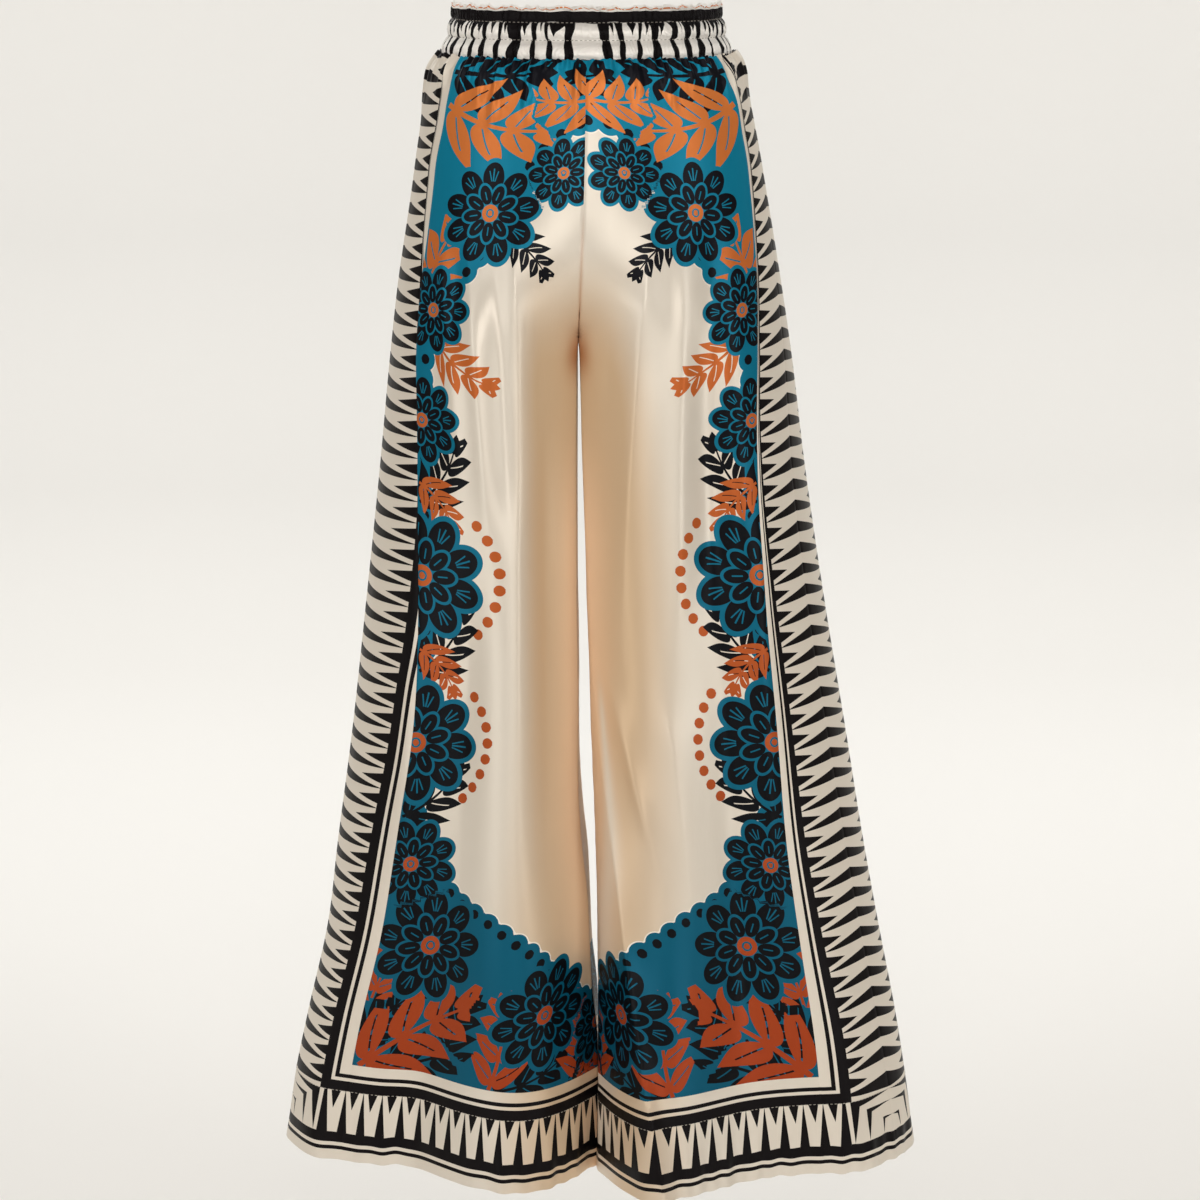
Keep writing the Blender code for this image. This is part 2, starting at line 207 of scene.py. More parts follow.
# Painted shade along the inner legs: a tan tone over the ground, where shade falls between the legs. Its
# strength, its reach from the middle plane, and over what it fades outwards
PAINTED_SHADE_TONES = (
    ("drop", "strength", "right_edge", "right_fade", "left_edge", "left_fade"),
    (0.000, 0.00, 0.065, 0.030, 0.055, 0.050),
    (0.160, 0.00, 0.065, 0.030, 0.055, 0.050),
    (0.200, 0.45, 0.068, 0.030, 0.055, 0.050),
    (0.262, 1.00, 0.069, 0.030, 0.066, 0.050),
    (0.360, 1.00, 0.070, 0.032, 0.082, 0.052),
    (0.480, 1.00, 0.070, 0.033, 0.096, 0.060),
    (0.600, 0.97, 0.073, 0.038, 0.098, 0.062),
    (0.690, 0.92, 0.084, 0.055, 0.106, 0.076),
    (0.760, 0.90, 0.098, 0.070, 0.112, 0.085),
    (1.030, 0.85, 0.102, 0.075, 0.112, 0.085),
)
# Painted highlight: a pale strip down the inner left leg, where the painted shade and glow are taken off,
# with its middle and half width
PAINTED_HIGHLIGHT_STRIP = (
    ("drop", "x", "half_width"),
    (0.550, 0.0110, 0.0030),
    (0.600, 0.0150, 0.0035),
    (0.645, 0.0189, 0.0050),
    (0.720, 0.0206, 0.0100),
    (0.780, 0.0150, 0.0120),
    (1.030, 0.0140, 0.0140),
)
PAINTED_HIGHLIGHT_BEGIN = (0.535, 0.590)
PAINTED_HIGHLIGHT_STRENGTH = 0.85
PAINTED_GLOW_REACH = 0.019          # painted light: a warm glow beside the gap between the legs
PAINTED_GLOW_BEGIN = (0.300, 0.440)
CROTCH_SHADE = (0.258, 0.009, 0.020)    # drop, half width and half height of the painted dark warm shade at the crotch
SEAM_SHADE = 0.45           # strength of that painted shade along the middle seam, and where it begins and is full
SEAM_SHADE_BEGIN = (0.12, 0.16)

PANEL_ROWS = 360
PANEL_COLUMNS = 168
TOP_ROWS_SHARE = 0.16       # share of the rows that lie in the gathered part under the waist seam
GATHERED_DROP = 0.060
COLUMN_SMOOTHING = 0.030    # over what height the columns' spacing is evened out


def curve(where, table, name):
    """Value of one named column on a smooth curve through the table's rows, by Hermite steps. The
    first row names the columns, and the first column says where each row stands."""
    columns, *rows = table
    rows = np.array(rows, dtype=float)
    knots = rows[:, 0]
    values = rows[:, columns.index(name)]
    slopes = np.gradient(values, knots)
    i = np.clip(np.searchsorted(knots, where) - 1, 0, len(knots) - 2)
    step = knots[i + 1] - knots[i]
    t = np.clip((where - knots[i]) / step, 0.0, 1.0)
    start = (2 * t**3 - 3 * t**2 + 1) * values[i] + (t**3 - 2 * t**2 + t) * step * slopes[i]
    end = (3 * t**2 - 2 * t**3) * values[i + 1] + (t**3 - t**2) * step * slopes[i + 1]
    return start + end


def named_rows(table):
    """The rows of a table, each under the names in its first row."""
    columns, *rows = table
    return [dict(zip(columns, row)) for row in rows]


def ease(share):
    """Soft step from 0 to 1, flat at both ends: 3 s^2 - 2 s^3."""
    share = np.clip(share, 0.0, 1.0)
    return share * share * (3 - 2 * share)


def first_turn(drop):
    """Turn at which a leg's ring leaves the middle plane, 0 below the crotch."""
    above = np.clip((CROTCH_DROP - drop) / RISE_CURVE, 0.0, 1.0)
    return np.arccos(np.clip((1.0 - above) ** RISE_POWER, 0.0, 1.0))


def own_share(drop):
    """How far a leg has a ring of its own: 0 at the hips, 1 below the crotch, by a soft ramp that
    sets in as a parabola (d + s)^2 / 4s round the crotch."""
    above = CROTCH_DROP - drop
    setting_in = np.clip(above + RISE_SOFTNESS, 0.0, None) ** 2 / (4 * RISE_SOFTNESS)
    ramp = np.where(above > RISE_SOFTNESS, above, setting_in)
    return (1.0 - np.clip(ramp / RISE_CURVE, 0.0, 1.0)) ** RISE_POWER


def inner_edge(turn, drop, radius):
    """How far the inner leg is moved towards the other one, to hang as a soft edge at the front
    and at the back: up to the middle plane as far as the edge's turn, with a hollow between below
    the crotch, and a bell beyond it."""
    turn = np.minimum(turn, 2 * np.pi - turn)
    opened = ease((drop - CROTCH_DROP) / INNER_HOLLOW_RISE)
    hollow = INNER_HOLLOW * (1 - (turn / INNER_EDGE_TURN) ** 2) * opened
    short = own_share(drop) - np.cos(INNER_EDGE_TURN)
    short = 0.5 * (short + np.sqrt(short ** 2 + INNER_EDGE_SOFTNESS ** 2))
    within = radius * (short + np.cos(INNER_EDGE_TURN) - np.cos(turn)) - hollow
    bell = np.exp(-((turn - INNER_EDGE_TURN) / INNER_EDGE_FADE) ** 2)
    return np.where(turn < INNER_EDGE_TURN, within, radius * short * bell)


def leg_surface(leg, turn, drop):
    """Outer face of one leg: an ellipse between the inseam and the outer edge, deeper at the back,
    squarer at the hips, with soft folds added outwards as bell curves that grow to the hem, and
    the inner side moved by half the gap between the legs."""
    outwards = 1.0 if leg == "left" else -1.0
    right, left = [curve(drop, INSEAMS, name) for name in ("right", "left")]
    inseam = 0.5 * (right + left)
    parted = outwards * 0.5 * (left - right) * ease((drop - CROTCH_DROP) / GAP_RISE)
    edge = curve(drop, SECTIONS, leg + "_edge")
    share = own_share(drop)
    radius = (edge - outwards * inseam) / (1.0 + share)
    front = curve(drop, SECTIONS, "front")
    back = curve(drop, SECTIONS, "back")
    depth = np.where(turn < np.pi, front, back)
    sine = np.sin(turn)
    power = 1.0 - TORSO_SQUARENESS * (1.0 - share)
    power = power - INNER_SQUARENESS * share * np.clip(np.cos(turn), 0.0, 1.0)
    out = share * radius - radius * np.cos(turn) - inner_edge(turn, drop, radius)
    away = -np.sign(sine) * np.abs(sine) ** power * depth
    for fold in named_rows(FOLDS):
        if fold["leg"] == leg:
            reach = np.clip((drop - fold["begin"]) / (fold["full"] - fold["begin"]), 0.0, 1.0)
            faded = ease((drop - fold["full"]) / (fold["end"] - fold["full"]))
            height = fold["height"] * reach ** FOLD_GROWTH * (1.0 - faded)
            run = (drop - fold["begin"]) / (min(fold["end"], LENGTH) - fold["begin"])
            middle = fold["top_turn"] + (fold["low_turn"] - fold["top_turn"]) * run
            bell = np.exp(-((np.degrees(turn) - middle) / fold["half_width"]) ** 2)
            out = out - FOLD_SPREAD * height * bell * np.cos(turn)
            away = away - height * bell * sine
    away = away - outwards * LEG_SWAY * ease((drop - SWAY_BEGIN) / (SWAY_FULL - SWAY_BEGIN))
    parted = parted * np.clip(np.cos(turn), 0.0, 1.0)
    across = inseam + parted + outwards * np.maximum(out, 0.0)
    return np.stack([across, away, -drop + 0.0 * turn], axis=-1)


def seam_turn(leg, which, drop):
    """Turn of a seam down the leg: the inseam, panel or side seam, at the front or the back."""
    side = np.radians(curve(drop, SEAMS, leg + "_side"))
    panel = np.radians(curve(drop, SEAMS, leg + "_panel"))
    return {
        "front_inseam": first_turn(drop),
        "front_panel": panel,
        "side": side,
        "back_panel": side + (side - panel) * BACK_BORDER_WIDTH[leg],
        "back_inseam": 2 * np.pi - first_turn(drop),
    }[which]


def crease_height(leg, turn, drop, x):
    """Height of all creases at a point: bells in X, each side with its own reach and crest."""
    total = np.zeros_like(x)
    for crease in named_rows(CREASES):
        if crease["leg"] == leg:
            here = (turn < np.pi) == (crease["face"] == "front")
            run = np.clip((drop - crease["begin"]) / (crease["end"] - crease["begin"]), 0.0, 1.0)
            away = x - (crease["top_x"] + (crease["low_x"] - crease["top_x"]) * run)
            reach = np.where(away < 0, crease["low_reach"], crease["high_reach"])
            bell = np.exp(-(np.abs(away) / reach) ** crease["crest"])
            grown = ease((drop - crease["begin"]) / (crease["full"] - crease["begin"]))
            faded = ease((drop - crease["fade"]) / (crease["end"] - crease["fade"]))
            total = total + here * crease["height"] * bell * grown * (1.0 - faded)
    return total


def painted_inner_shading(leg, x, drop):
    """Three shares of painted shade and light along the inner legs: the painted tan shade, which eases off
    outwards, the painted glow beside the gap, a bell of the way from the inseam, and the painted shade at
    the crotch, a bell round its point."""
    strength, edge, fade = [curve(drop, PAINTED_SHADE_TONES, name)
                            for name in ("strength", leg + "_edge", leg + "_fade")]
    painted_tan = strength * ease((edge - np.abs(x)) / fade)
    inseam = curve(drop, INSEAMS, leg)
    painted_glow = np.exp(-((x - inseam) / PAINTED_GLOW_REACH) ** 2)
    painted_glow = painted_glow * ease((drop - PAINTED_GLOW_BEGIN[0]) / (PAINTED_GLOW_BEGIN[1] - PAINTED_GLOW_BEGIN[0]))
    middle, half_width, half_height = CROTCH_SHADE
    shade = np.exp(-((x - inseam) / half_width) ** 2 - ((drop - middle) / half_height) ** 2)
    begin, full = SEAM_SHADE_BEGIN
    seam = np.exp(-((x - inseam) / SEAM_DIP_WIDTH) ** 2) * ease((drop - begin) / (full - begin))
    shade = np.maximum(shade, SEAM_SHADE * seam * ease((middle - drop) / 0.01))
    # On the left leg a painted highlight strip takes off the painted shade and glow.
    if leg == "left":
        begin, full = PAINTED_HIGHLIGHT_BEGIN
        middle = curve(drop, PAINTED_HIGHLIGHT_STRIP, "x")
        half_width = curve(drop, PAINTED_HIGHLIGHT_STRIP, "half_width")
        strip = np.exp(-((x - middle) / half_width) ** 2) * ease((drop - begin) / (full - begin))
        painted_tan = painted_tan * (1.0 - PAINTED_HIGHLIGHT_STRENGTH * strip)
        painted_glow = painted_glow * (1.0 - PAINTED_HIGHLIGHT_STRENGTH * strip)
    return np.stack([painted_tan, painted_glow * (1.0 - shade), shade], -1)


def gather_height(leg, turn, drop):
    """Height of the gathers under the waist seam: narrow bells, each fading over its own length."""
    random = np.random.default_rng(GATHER_SEED + (leg == "left"))
    count = int(GATHER_SPAN / GATHER_SPACING)
    middles = GATHER_FIRST + np.cumsum(random.uniform(0.55, 1.45, count)) * GATHER_SPACING
    heights = GATHER_HEIGHT * random.uniform(0.5, 1.6, count)
    lengths = GATHER_LENGTHS[0] + (GATHER_LENGTHS[1] - GATHER_LENGTHS[0]) * random.power(0.35, count)
    widths = GATHER_SPACING * random.uniform(0.26, 0.42, count)
    total = np.zeros_like(turn)
    for middle, height, length, width in zip(middles, heights, lengths, widths):
        spread = width * (1.0 + drop / GATHER_SPREAD)
        bell = np.exp(-((np.degrees(turn) - middle) / spread) ** 2)
        total = total + height * bell * (1.0 - ease(drop / length))
    return total


def unit_normals(points):
    """Unit normals of a grid of points, from the steps along its rows and columns."""
    normal = np.cross(np.gradient(points, axis=0), np.gradient(points, axis=1))
    return normal / np.linalg.norm(normal, axis=-1, keepdims=True)


def outward_normals(points, middle):
    """Unit normals of a grid of points, turned to point away from the middle."""
    normal = unit_normals(points)
    return -normal if np.sum(normal * (points - middle)) < 0 else normal


def panel_grid(leg, start, end, drops, columns):
    """Outer face of one panel, with the columns evenly spaced over the cloth between two seams, as
    shares of the square of the turn, so that they part softly above the crotch.

    Returns its points, its outward normals, the drop, the way across it from the first seam in
    metres, and the share of the panel's width."""
    behind = "back" in start + end
    ends = [seam_turn(leg, seam, drops[:, None]) for seam in (start, end)]
    first, last = [2 * np.pi - turn if behind else turn for turn in ends]

    def turn_at(part):
        turn = np.sqrt(np.maximum(first ** 2 + (last ** 2 - first ** 2) * part, 0.0))
        return 2 * np.pi - turn if behind else turn

    part = 1.0 - np.linspace(1.0, 0.0, 4 * columns + 1) ** 2
    ring = leg_surface(leg, turn_at(part), drops[:, None] + 0 * part)
    steps = np.linalg.norm(np.diff(ring, axis=1), axis=-1)
    ways = np.concatenate([np.zeros((len(drops), 1)), np.cumsum(steps, axis=1)], axis=1)
    even = np.linspace(0.0, 1.0, columns + 1)
    parts = np.stack([np.interp(even * way[-1], way, part) for way in ways])
    near = np.exp(-((drops[:, None] - drops) / COLUMN_SMOOTHING) ** 2) * np.gradient(drops)
    parts = near @ parts / near.sum(axis=1, keepdims=True)
    across = np.stack([np.interp(row, part, way) for row, way in zip(parts, ways)])
    width = across[:, -1:]
    turn = turn_at(parts)
    drop = drops[:, None] + 0 * even
    points = leg_surface(leg, turn, drop)
    middle = 0.5 * (points.min(axis=1, keepdims=True) + points.max(axis=1, keepdims=True))
    normal = outward_normals(points, middle)
    height = crease_height(leg, turn, drop, points[..., 0]) * normal[..., 1] ** 2
    height = height + gather_height(leg, turn, drop)
    for distance in (across, width - across):
        height = height - SEAM_DIP * np.exp(-(distance / SEAM_DIP_WIDTH) ** 2)
    low = np.exp(-((LENGTH - drop) / HEM_WOBBLE_REACH) ** 2)
    round_leg = points[..., 0] * HEM_WAVES[0] + points[..., 1] * HEM_WAVES[1]
    height = height + HEM_WOBBLE * low * (np.sin(round_leg) + 0.6 * np.sin(2.3 * round_leg + 1))
    points = points + normal * height[..., None]
    points[..., 2] += HEM_LIFT * low * np.sin(1.7 * round_leg + 2)
    return points, normal, drop, across, across / width


def panel_drops(rows):
    """Drops of a panel's rows: close together under the waist seam, then evenly down to the hem."""
    top = int(rows * TOP_ROWS_SHARE / 2) * 2
    upper = np.linspace(0.0, GATHERED_DROP, top, endpoint=False)
    return np.concatenate([upper, np.linspace(GATHERED_DROP, LENGTH, rows + 1 - top)])


def add_value(mesh, name, values):
    """Puts a number, or three, for each vertex into the mesh as an attribute."""
    kind = "FLOAT" if values.ndim == 1 else "FLOAT_VECTOR"
    attribute = mesh.attributes.new(name, kind, "POINT")
    attribute.data.foreach_set("value" if kind == "FLOAT" else "vector",
                               values.astype(np.float32).ravel())


def place_object(name, data):
    """Object at the origin that holds a mesh, a light or the camera, in the scene."""
    obj = bpy.data.objects.new(name, data)
    bpy.context.scene.collection.objects.link(obj)
    return obj


def make_wall(name, points, normal, wall, values, materials):
    """Closed cloth wall from the grid of its outer face. The inner face lies a wall further in and
    has every second row and column; rims of triangles join the two all round."""
    rows, columns = points.shape[:2]
    inner = (points - normal * wall[..., None])[::2, ::2]
    outer_index = np.arange(rows * columns).reshape(rows, columns)
    inner_count = inner.shape[0] * inner.shape[1]
    inner_index = rows * columns + np.arange(inner_count).reshape(inner.shape[:2])

    def quads(index):
        corners = (index[:-1, :-1], index[1:, :-1], index[1:, 1:], index[:-1, 1:])
        return np.stack(corners, -1).reshape(-1, 4)

    def outline(index):
        return np.concatenate([index[:-1, 0], index[-1, :-1], index[:0:-1, -1], index[0, :0:-1]])

    fine, coarse = outline(outer_index), outline(inner_index)
    first, second, third = fine[::2], fine[1::2], np.roll(fine, -2)[::2]
    after = np.roll(coarse, -1)
    rims = np.concatenate([np.stack(edge, -1) for edge in
                           ((first, coarse, second), (second, coarse, after), (second, after, third))])
    outer_faces, inner_faces = quads(outer_index), quads(inner_index)[:, ::-1]
    if np.sum(unit_normals(points) * normal) < 0:
        outer_faces, inner_faces, rims = outer_faces[:, ::-1], inner_faces[:, ::-1], rims[:, ::-1]
    mesh = bpy.data.meshes.new(name)
    vertices = np.concatenate([points.reshape(-1, 3), inner.reshape(-1, 3)])
    faces = outer_faces.tolist() + rims.tolist() + inner_faces.tolist()
    mesh.from_pydata(vertices.tolist(), [], faces)
    mesh.shade_smooth()
    slots = np.zeros(len(mesh.polygons), dtype=np.int32)
    slots[len(outer_faces) + len(rims):] = 1
    for material in materials:
        mesh.materials.append(material)
    mesh.polygons.foreach_set("material_index", slots)
    for value_name, grid in values.items():
        wide = grid.reshape(rows * columns, -1)
        inside = grid[::2, ::2].reshape(inner_count, -1)
        add_value(mesh, value_name, np.concatenate([wide, inside]).squeeze())
    mesh.set_sharp_from_angle(angle=np.radians(50))
    return place_object(name, mesh)


# The print. Its places are in metres: across the panel from the panel seam, and down from the
# waist seam. A teal ground with a scalloped edge runs down the outer side, from the yoke to the
# hem, with a dot in each scallop, leafy sprays and round petalled flowers.
TEAL_EDGE = (
    ("step", "across", "drop"),
    (0, 0.190, 0.050),
    (1, 0.150, 0.050),
    (2, 0.122, 0.058),
    (3, 0.098, 0.084),
    (4, 0.086, 0.128),
    (5, 0.058, 0.172),
    (6, 0.030, 0.216),
    (7, 0.012, 0.262),
    (8, 0.008, 0.330),
    (9, 0.008, 0.420),
    (10, 0.008, 0.500),
    (11, 0.008, 0.590),
    (12, 0.012, 0.660),
    (13, 0.026, 0.716),
    (14, 0.060, 0.752),
    (15, 0.110, 0.775),
    (16, 0.160, 0.806),
    (17, 0.205, 0.842),
    (18, 0.255, 0.864),
    (19, 0.330, 0.875),
    (20, 0.520, 0.880),
)
SCALLOP_SPACING = 0.0175
SCALLOP_RADIUS = 0.0105
DOT_RADIUS = 0.0045

FLOWERS = (
    ("across", "drop", "radius", "turned"),
    (0.064, 0.132, 0.046, 10),
    (0.020, 0.218, 0.038, 0),
    (0.126, 0.096, 0.032, 25),
    (0.006, 0.316, 0.040, 5),
    (0.004, 0.456, 0.060, 20),
    (0.004, 0.612, 0.058, 0),
    (0.018, 0.728, 0.044, 30),
    (0.050, 0.806, 0.056, 12),
    (0.186, 0.862, 0.052, 0),
    (0.266, 0.888, 0.036, 18),
    (0.330, 0.900, 0.030, 8),
    (0.386, 0.906, 0.026, 20),
    (0.437, 0.908, 0.024, 4),
)

# Sprays of leaves: where the stem starts, its length, its heading in degrees from straight up
# towards the middle of the leg, and how far it bends on its way
ORANGE_SPRAYS = (
    ("across", "drop", "length", "heading", "bend"),
    (0.004, 0.040, 0.122, 118, -40),
    (0.148, 0.030, 0.080, -108, 40),
    (0.002, 0.240, 0.110, 8, 20),
    (0.026, 0.246, 0.070, 138, -30),
    (0.002, 0.372, 0.062, 116, 50),
    (0.002, 0.524, 0.060, 116, 50),
    (0.004, 0.880, 0.080, 4, 20),
    (0.006, 0.934, 0.150, 46, 16),
    (0.148, 0.934, 0.100, 12, -38),
    (0.246, 0.934, 0.090, -6, -26),
    (0.240, 0.936, 0.060, 78, -24),
    (0.358, 0.930, 0.064, 4, -16),
    (0.462, 0.930, 0.060, 0, 0),
)
NAVY_SPRAYS = (
    ("across", "drop", "length", "heading", "bend"),
    (0.002, 0.012, 0.100, 96, -14),
    (0.190, 0.014, 0.084, -94, 14),
    (0.086, 0.152, 0.054, 118, 34),
    (0.002, 0.390, 0.080, 58, -50),
    (0.002, 0.545, 0.084, 58, -50),
    (0.002, 0.684, 0.082, 62, -46),
    (0.002, 0.915, 0.090, 24, 30),
    (0.020, 0.936, 0.110, 82, -34),
    (0.092, 0.934, 0.100, -8, 50),
    (0.150, 0.936, 0.086, 76, -20),
    (0.222, 0.934, 0.056, 70, 10),
    (0.300, 0.930, 0.078, 6, -20),
    (0.412, 0.930, 0.064, 2, -10),
)
BEAD_RADIUS = 0.0050        # beads in an arc round the flowers of the outer thigh and knee
BEAD_DISTANCE = 0.0140
BEADED = (0.40, 0.65)


def teal_and_dots(across, drop):
    """Signed distances, inwards from the edge, to the teal ground, to the dots in its scallops and
    to the beads in front of it. The ground is everything on the seam's side of a smooth edge, with
    a disc for each scallop."""
    steps = np.linspace(0, TEAL_EDGE[-1][0], 1200)
    edge_across = curve(steps, TEAL_EDGE, "across")
    edge_drop = curve(steps, TEAL_EDGE, "drop")
    along = np.concatenate([[0], np.cumsum(np.hypot(np.diff(edge_across), np.diff(edge_drop)))])
    marks = np.arange(0.4 * SCALLOP_SPACING, along[-1], SCALLOP_SPACING)
    disc_across = np.interp(marks, along, edge_across)
    disc_drop = np.interp(marks, along, edge_drop)
    nearest = np.full(across.shape, 1.0)
    for x, y in zip(edge_across[::6], edge_drop[::6]):
        nearest = np.minimum(nearest, np.hypot(across - x, drop - y))
    inside = across < np.interp(drop, edge_drop, edge_across, left=1.0, right=1.0)
    ground = np.where(inside, nearest, -nearest)
    dots = np.full(across.shape, -1.0)
    for x, y in zip(disc_across, disc_drop):
        away = np.hypot(across - x, drop - y)
        ground = np.maximum(ground, SCALLOP_RADIUS - away)
        dots = np.maximum(dots, DOT_RADIUS - away)
    beads = np.full(across.shape, -1.0)
    for flower in named_rows(FLOWERS):
        if BEADED[0] < flower["drop"] < BEADED[1]:
            for turned in np.radians(np.arange(-42, 43, 12)):
                x = flower["across"] + (flower["radius"] + BEAD_DISTANCE) * np.cos(turned)
                y = flower["drop"] + (flower["radius"] + BEAD_DISTANCE) * np.sin(turned)
                beads = np.maximum(beads, BEAD_RADIUS - np.hypot(across - x, drop - y))
    return ground * 1000, dots * 1000, beads * 1000


def nearest_flower(across, drop):
    """Place within the nearest flower, in its own radius: sideways, up, and way from its middle."""
    best = np.full(across.shape, 9.0)
    place = np.zeros(across.shape + (3,))
    for flower in named_rows(FLOWERS):
        right = (across - flower["across"]) / flower["radius"]
        up = (flower["drop"] - drop) / flower["radius"]
        turned = np.radians(flower["turned"])
        away = np.hypot(right, up)
        here = np.stack([right * np.cos(turned) + up * np.sin(turned),
                         up * np.cos(turned) - right * np.sin(turned), away], -1)
        place = np.where((away < best)[..., None], here, place)
        best = np.minimum(best, away)
    return place


def nearest_spray(across, drop, sprays):
    """Place on the nearest spray: share of the way along its bent stem, and way off it in stem
    lengths; the third number is below 1 within the spray's own box, and where the next spray
    takes over it is set high, so that no leaf is drawn across the change."""
    best = np.full(across.shape, 9.0)
    owner = np.zeros(across.shape, dtype=int)
    place = np.zeros(across.shape + (3,))
    place[..., 2] = 9.0
    for number, spray in enumerate(named_rows(sprays)):
        heading = np.radians(spray["heading"])
        right = (across - spray["across"]) / spray["length"]
        up = (spray["drop"] - drop) / spray["length"]
        side = right * np.cos(heading) - up * np.sin(heading)
        ahead = right * np.sin(heading) + up * np.cos(heading)
        bend = np.radians(spray["bend"])
        if abs(bend) > 0.01:
            along = np.arctan2(bend * ahead, 1 - bend * side) / bend
            off = (1 - np.hypot(bend * ahead, 1 - bend * side)) / bend
        else:
            along, off = ahead, side
        away = np.maximum(np.abs(along - 0.5) / 0.5, np.abs(off) / 0.42)
        here = np.stack([along, off, away], -1)
        place = np.where((away < best)[..., None], here, place)
        owner = np.where(away < best, number, owner)
        best = np.minimum(best, away)
    for axis in (0, 1):
        changes = np.diff(owner, axis=axis) != 0
        ends = [(0, 0), (0, 0)]
        for side in ((1, 0), (0, 1)):
            ends[axis] = side
            place[..., 2] += 9.0 * np.pad(changes, ends)
            ends[axis] = (0, 0)
    return place


def feed(tree, node, inputs):
    """Gives a node its inputs, each a measure, another node's socket, or a plain value."""
    for name, value in inputs.items():
        value = getattr(value, "socket", value)
        if isinstance(value, bpy.types.NodeSocket):
            tree.links.new(value, node.inputs[name])
        elif node.inputs[name].type == "RGBA":
            node.inputs[name].default_value = (*value, 1.0)
        else:
            node.inputs[name].default_value = value


def add_node(tree, kind, inputs):
    """New shader node of one kind, with its inputs."""
    node = tree.nodes.new("ShaderNode" + kind)
    feed(tree, node, inputs)
    return node


def mix_colours(tree, share, first, last):
    """Colour that goes from the first to the last as the share goes from 0 to 1."""
    node = tree.nodes.new("ShaderNodeMix")
    node.data_type = "RGBA"
    feed(tree, node, {"Factor": share, "A": first, "B": last})
    return node.outputs["Result"]


def step(operation):
    """Method of a measure that adds one kind of Math node, with what other values it is given."""
    return lambda measure, *others: measure.maths(operation, *others)


class Measure:
    """A number that varies over the cloth. Arithmetic on it adds Math nodes to a material."""

    def __init__(self, tree, socket):
        self.tree = tree
        self.socket = socket

    def maths(self, operation, *others):
        node = self.tree.nodes.new("ShaderNodeMath")
        node.operation = operation
        feed(self.tree, node, dict(enumerate((self, *others))))
        return Measure(self.tree, node.outputs[0])

    __add__ = step("ADD")
    __radd__ = step("ADD")
    __sub__ = step("SUBTRACT")
    __mul__ = step("MULTIPLY")
    __truediv__ = step("DIVIDE")
    __pow__ = step("POWER")
    above = step("GREATER_THAN")
    below = step("LESS_THAN")
    least = step("MINIMUM")
    most = step("MAXIMUM")
    size = step("ABSOLUTE")
    fraction = step("FRACT")
    floor = step("FLOOR")
    sine = step("SINE")
    cosine = step("COSINE")

    def __rsub__(self, other):
        return self * -1.0 + other

    def between(self, low, high):
        return self.above(low) * self.below(high)


def read_value(tree, name):
    """The one number of a plain attribute, as a measure."""
    node = tree.nodes.new("ShaderNodeAttribute")
    node.attribute_name = name
    return Measure(tree, node.outputs["Fac"])


def read_values(tree, name):
    """The three numbers of a vector attribute, as measures."""
    node = tree.nodes.new("ShaderNodeAttribute")
    node.attribute_name = name
    split = add_node(tree, "SeparateXYZ", {0: node.outputs["Vector"]})
    return [Measure(tree, socket) for socket in split.outputs]


class Colouring:
    """The cloth's colour as it is built up, one colour over another where a mask is 1: the print, and on
    the main panels also painted shade and light.
    """

    def __init__(self, tree, ground):
        self.tree = tree
        self.colour = ground

    def over(self, mask, colour):
        self.colour = mix_colours(self.tree, mask, self.colour, colour)


# Dyes, and the painted shade and light of the inner legs, as linear colours, where two are given, at the
# waist and at the hem
CREAM = (0.760, 0.690, 0.590)
# The next three colours are painted shade, painted light and painted shade, along the inner legs and at the
# crotch
PAINTED_SHADE_TAN = (0.640, 0.462, 0.290)
PAINTED_GLOW = (0.900, 0.650, 0.440)
SHADE = (0.420, 0.170, 0.060)
INK = (0.0055, 0.0040, 0.0045)
NAVY = ((0.0060, 0.0060, 0.0100), (0.0030, 0.0038, 0.0050))
TEAL = ((0.005, 0.260, 0.410), (0.003, 0.088, 0.152))
ORANGE = ((0.790, 0.245, 0.055), (0.345, 0.042, 0.010))
PALE_EDGE = (0.86, 0.80, 0.70)
# strengths of the painted glow and of the painted shade
PAINTED_GLOW_STRENGTH = 0.70
SHADE_STRENGTH = 0.88
PALE_EDGE_WIDTH = 1.1       # in millimetres
DYE_FADE = 0.45             # power by which the dyes change from the waist to the hem

# Hem print, in millimetres up from the hem edge, and its teeth
TOOTH_PITCH = 19.4
TEETH_FOOT = 27.3
TEETH_TOP = 69.0
FRAME_SIDE = 29.5           # width of the frame lines at the hem, beside the side border's teeth
FRAME_HEM = 27.0            # and above the hem's teeth
FRAME_LINES = ((0.0, 10.0), (13.2, 17.0))       # dark lines, counted from the teeth's inner end
HEM_LINES = ((10.0, 13.7), (17.3, TEETH_FOOT))  # and under the hem's teeth, up from the edge
CORNER_GAP = 0.42           # from the frame's corner to the first tooth, in teeth
TOOTH_TAPER = (0.280, 0.210)


def tooth_mask(count, depth, taper=TOOTH_TAPER):
    """1 on the pale teeth: count grows by 1 a tooth away from the corner, and depth goes from 0 at
    the inner band to 1 at the outer one. Each tooth tapers outwards, and a wedge cuts into it."""
    place = (count - CORNER_GAP).fraction()
    bars = depth if taper == TOOTH_TAPER else depth ** 0.8
    tooth = place.above(bars * (taper[0] - 0.025) + 0.025) * place.below(1.0 - bars * taper[1])
    wedge = place.above(depth * 0.44 + 0.25) * place.below(0.76 - depth * 0.74)
    return tooth * (1.0 - wedge) * count.above(CORNER_GAP)


def corner_arm(count, depth):
    """1 on the slender slanted arm that starts a row of teeth at the frame's corner."""
    return (count - (0.13 - depth * 0.13)).size().below(0.13 - depth * 0.03)


def on_lines(place, lines):
    """1 where the place, in millimetres, lies on either of two lines."""
    first, second = [place.between(*line) for line in lines]
    return first.most(second)


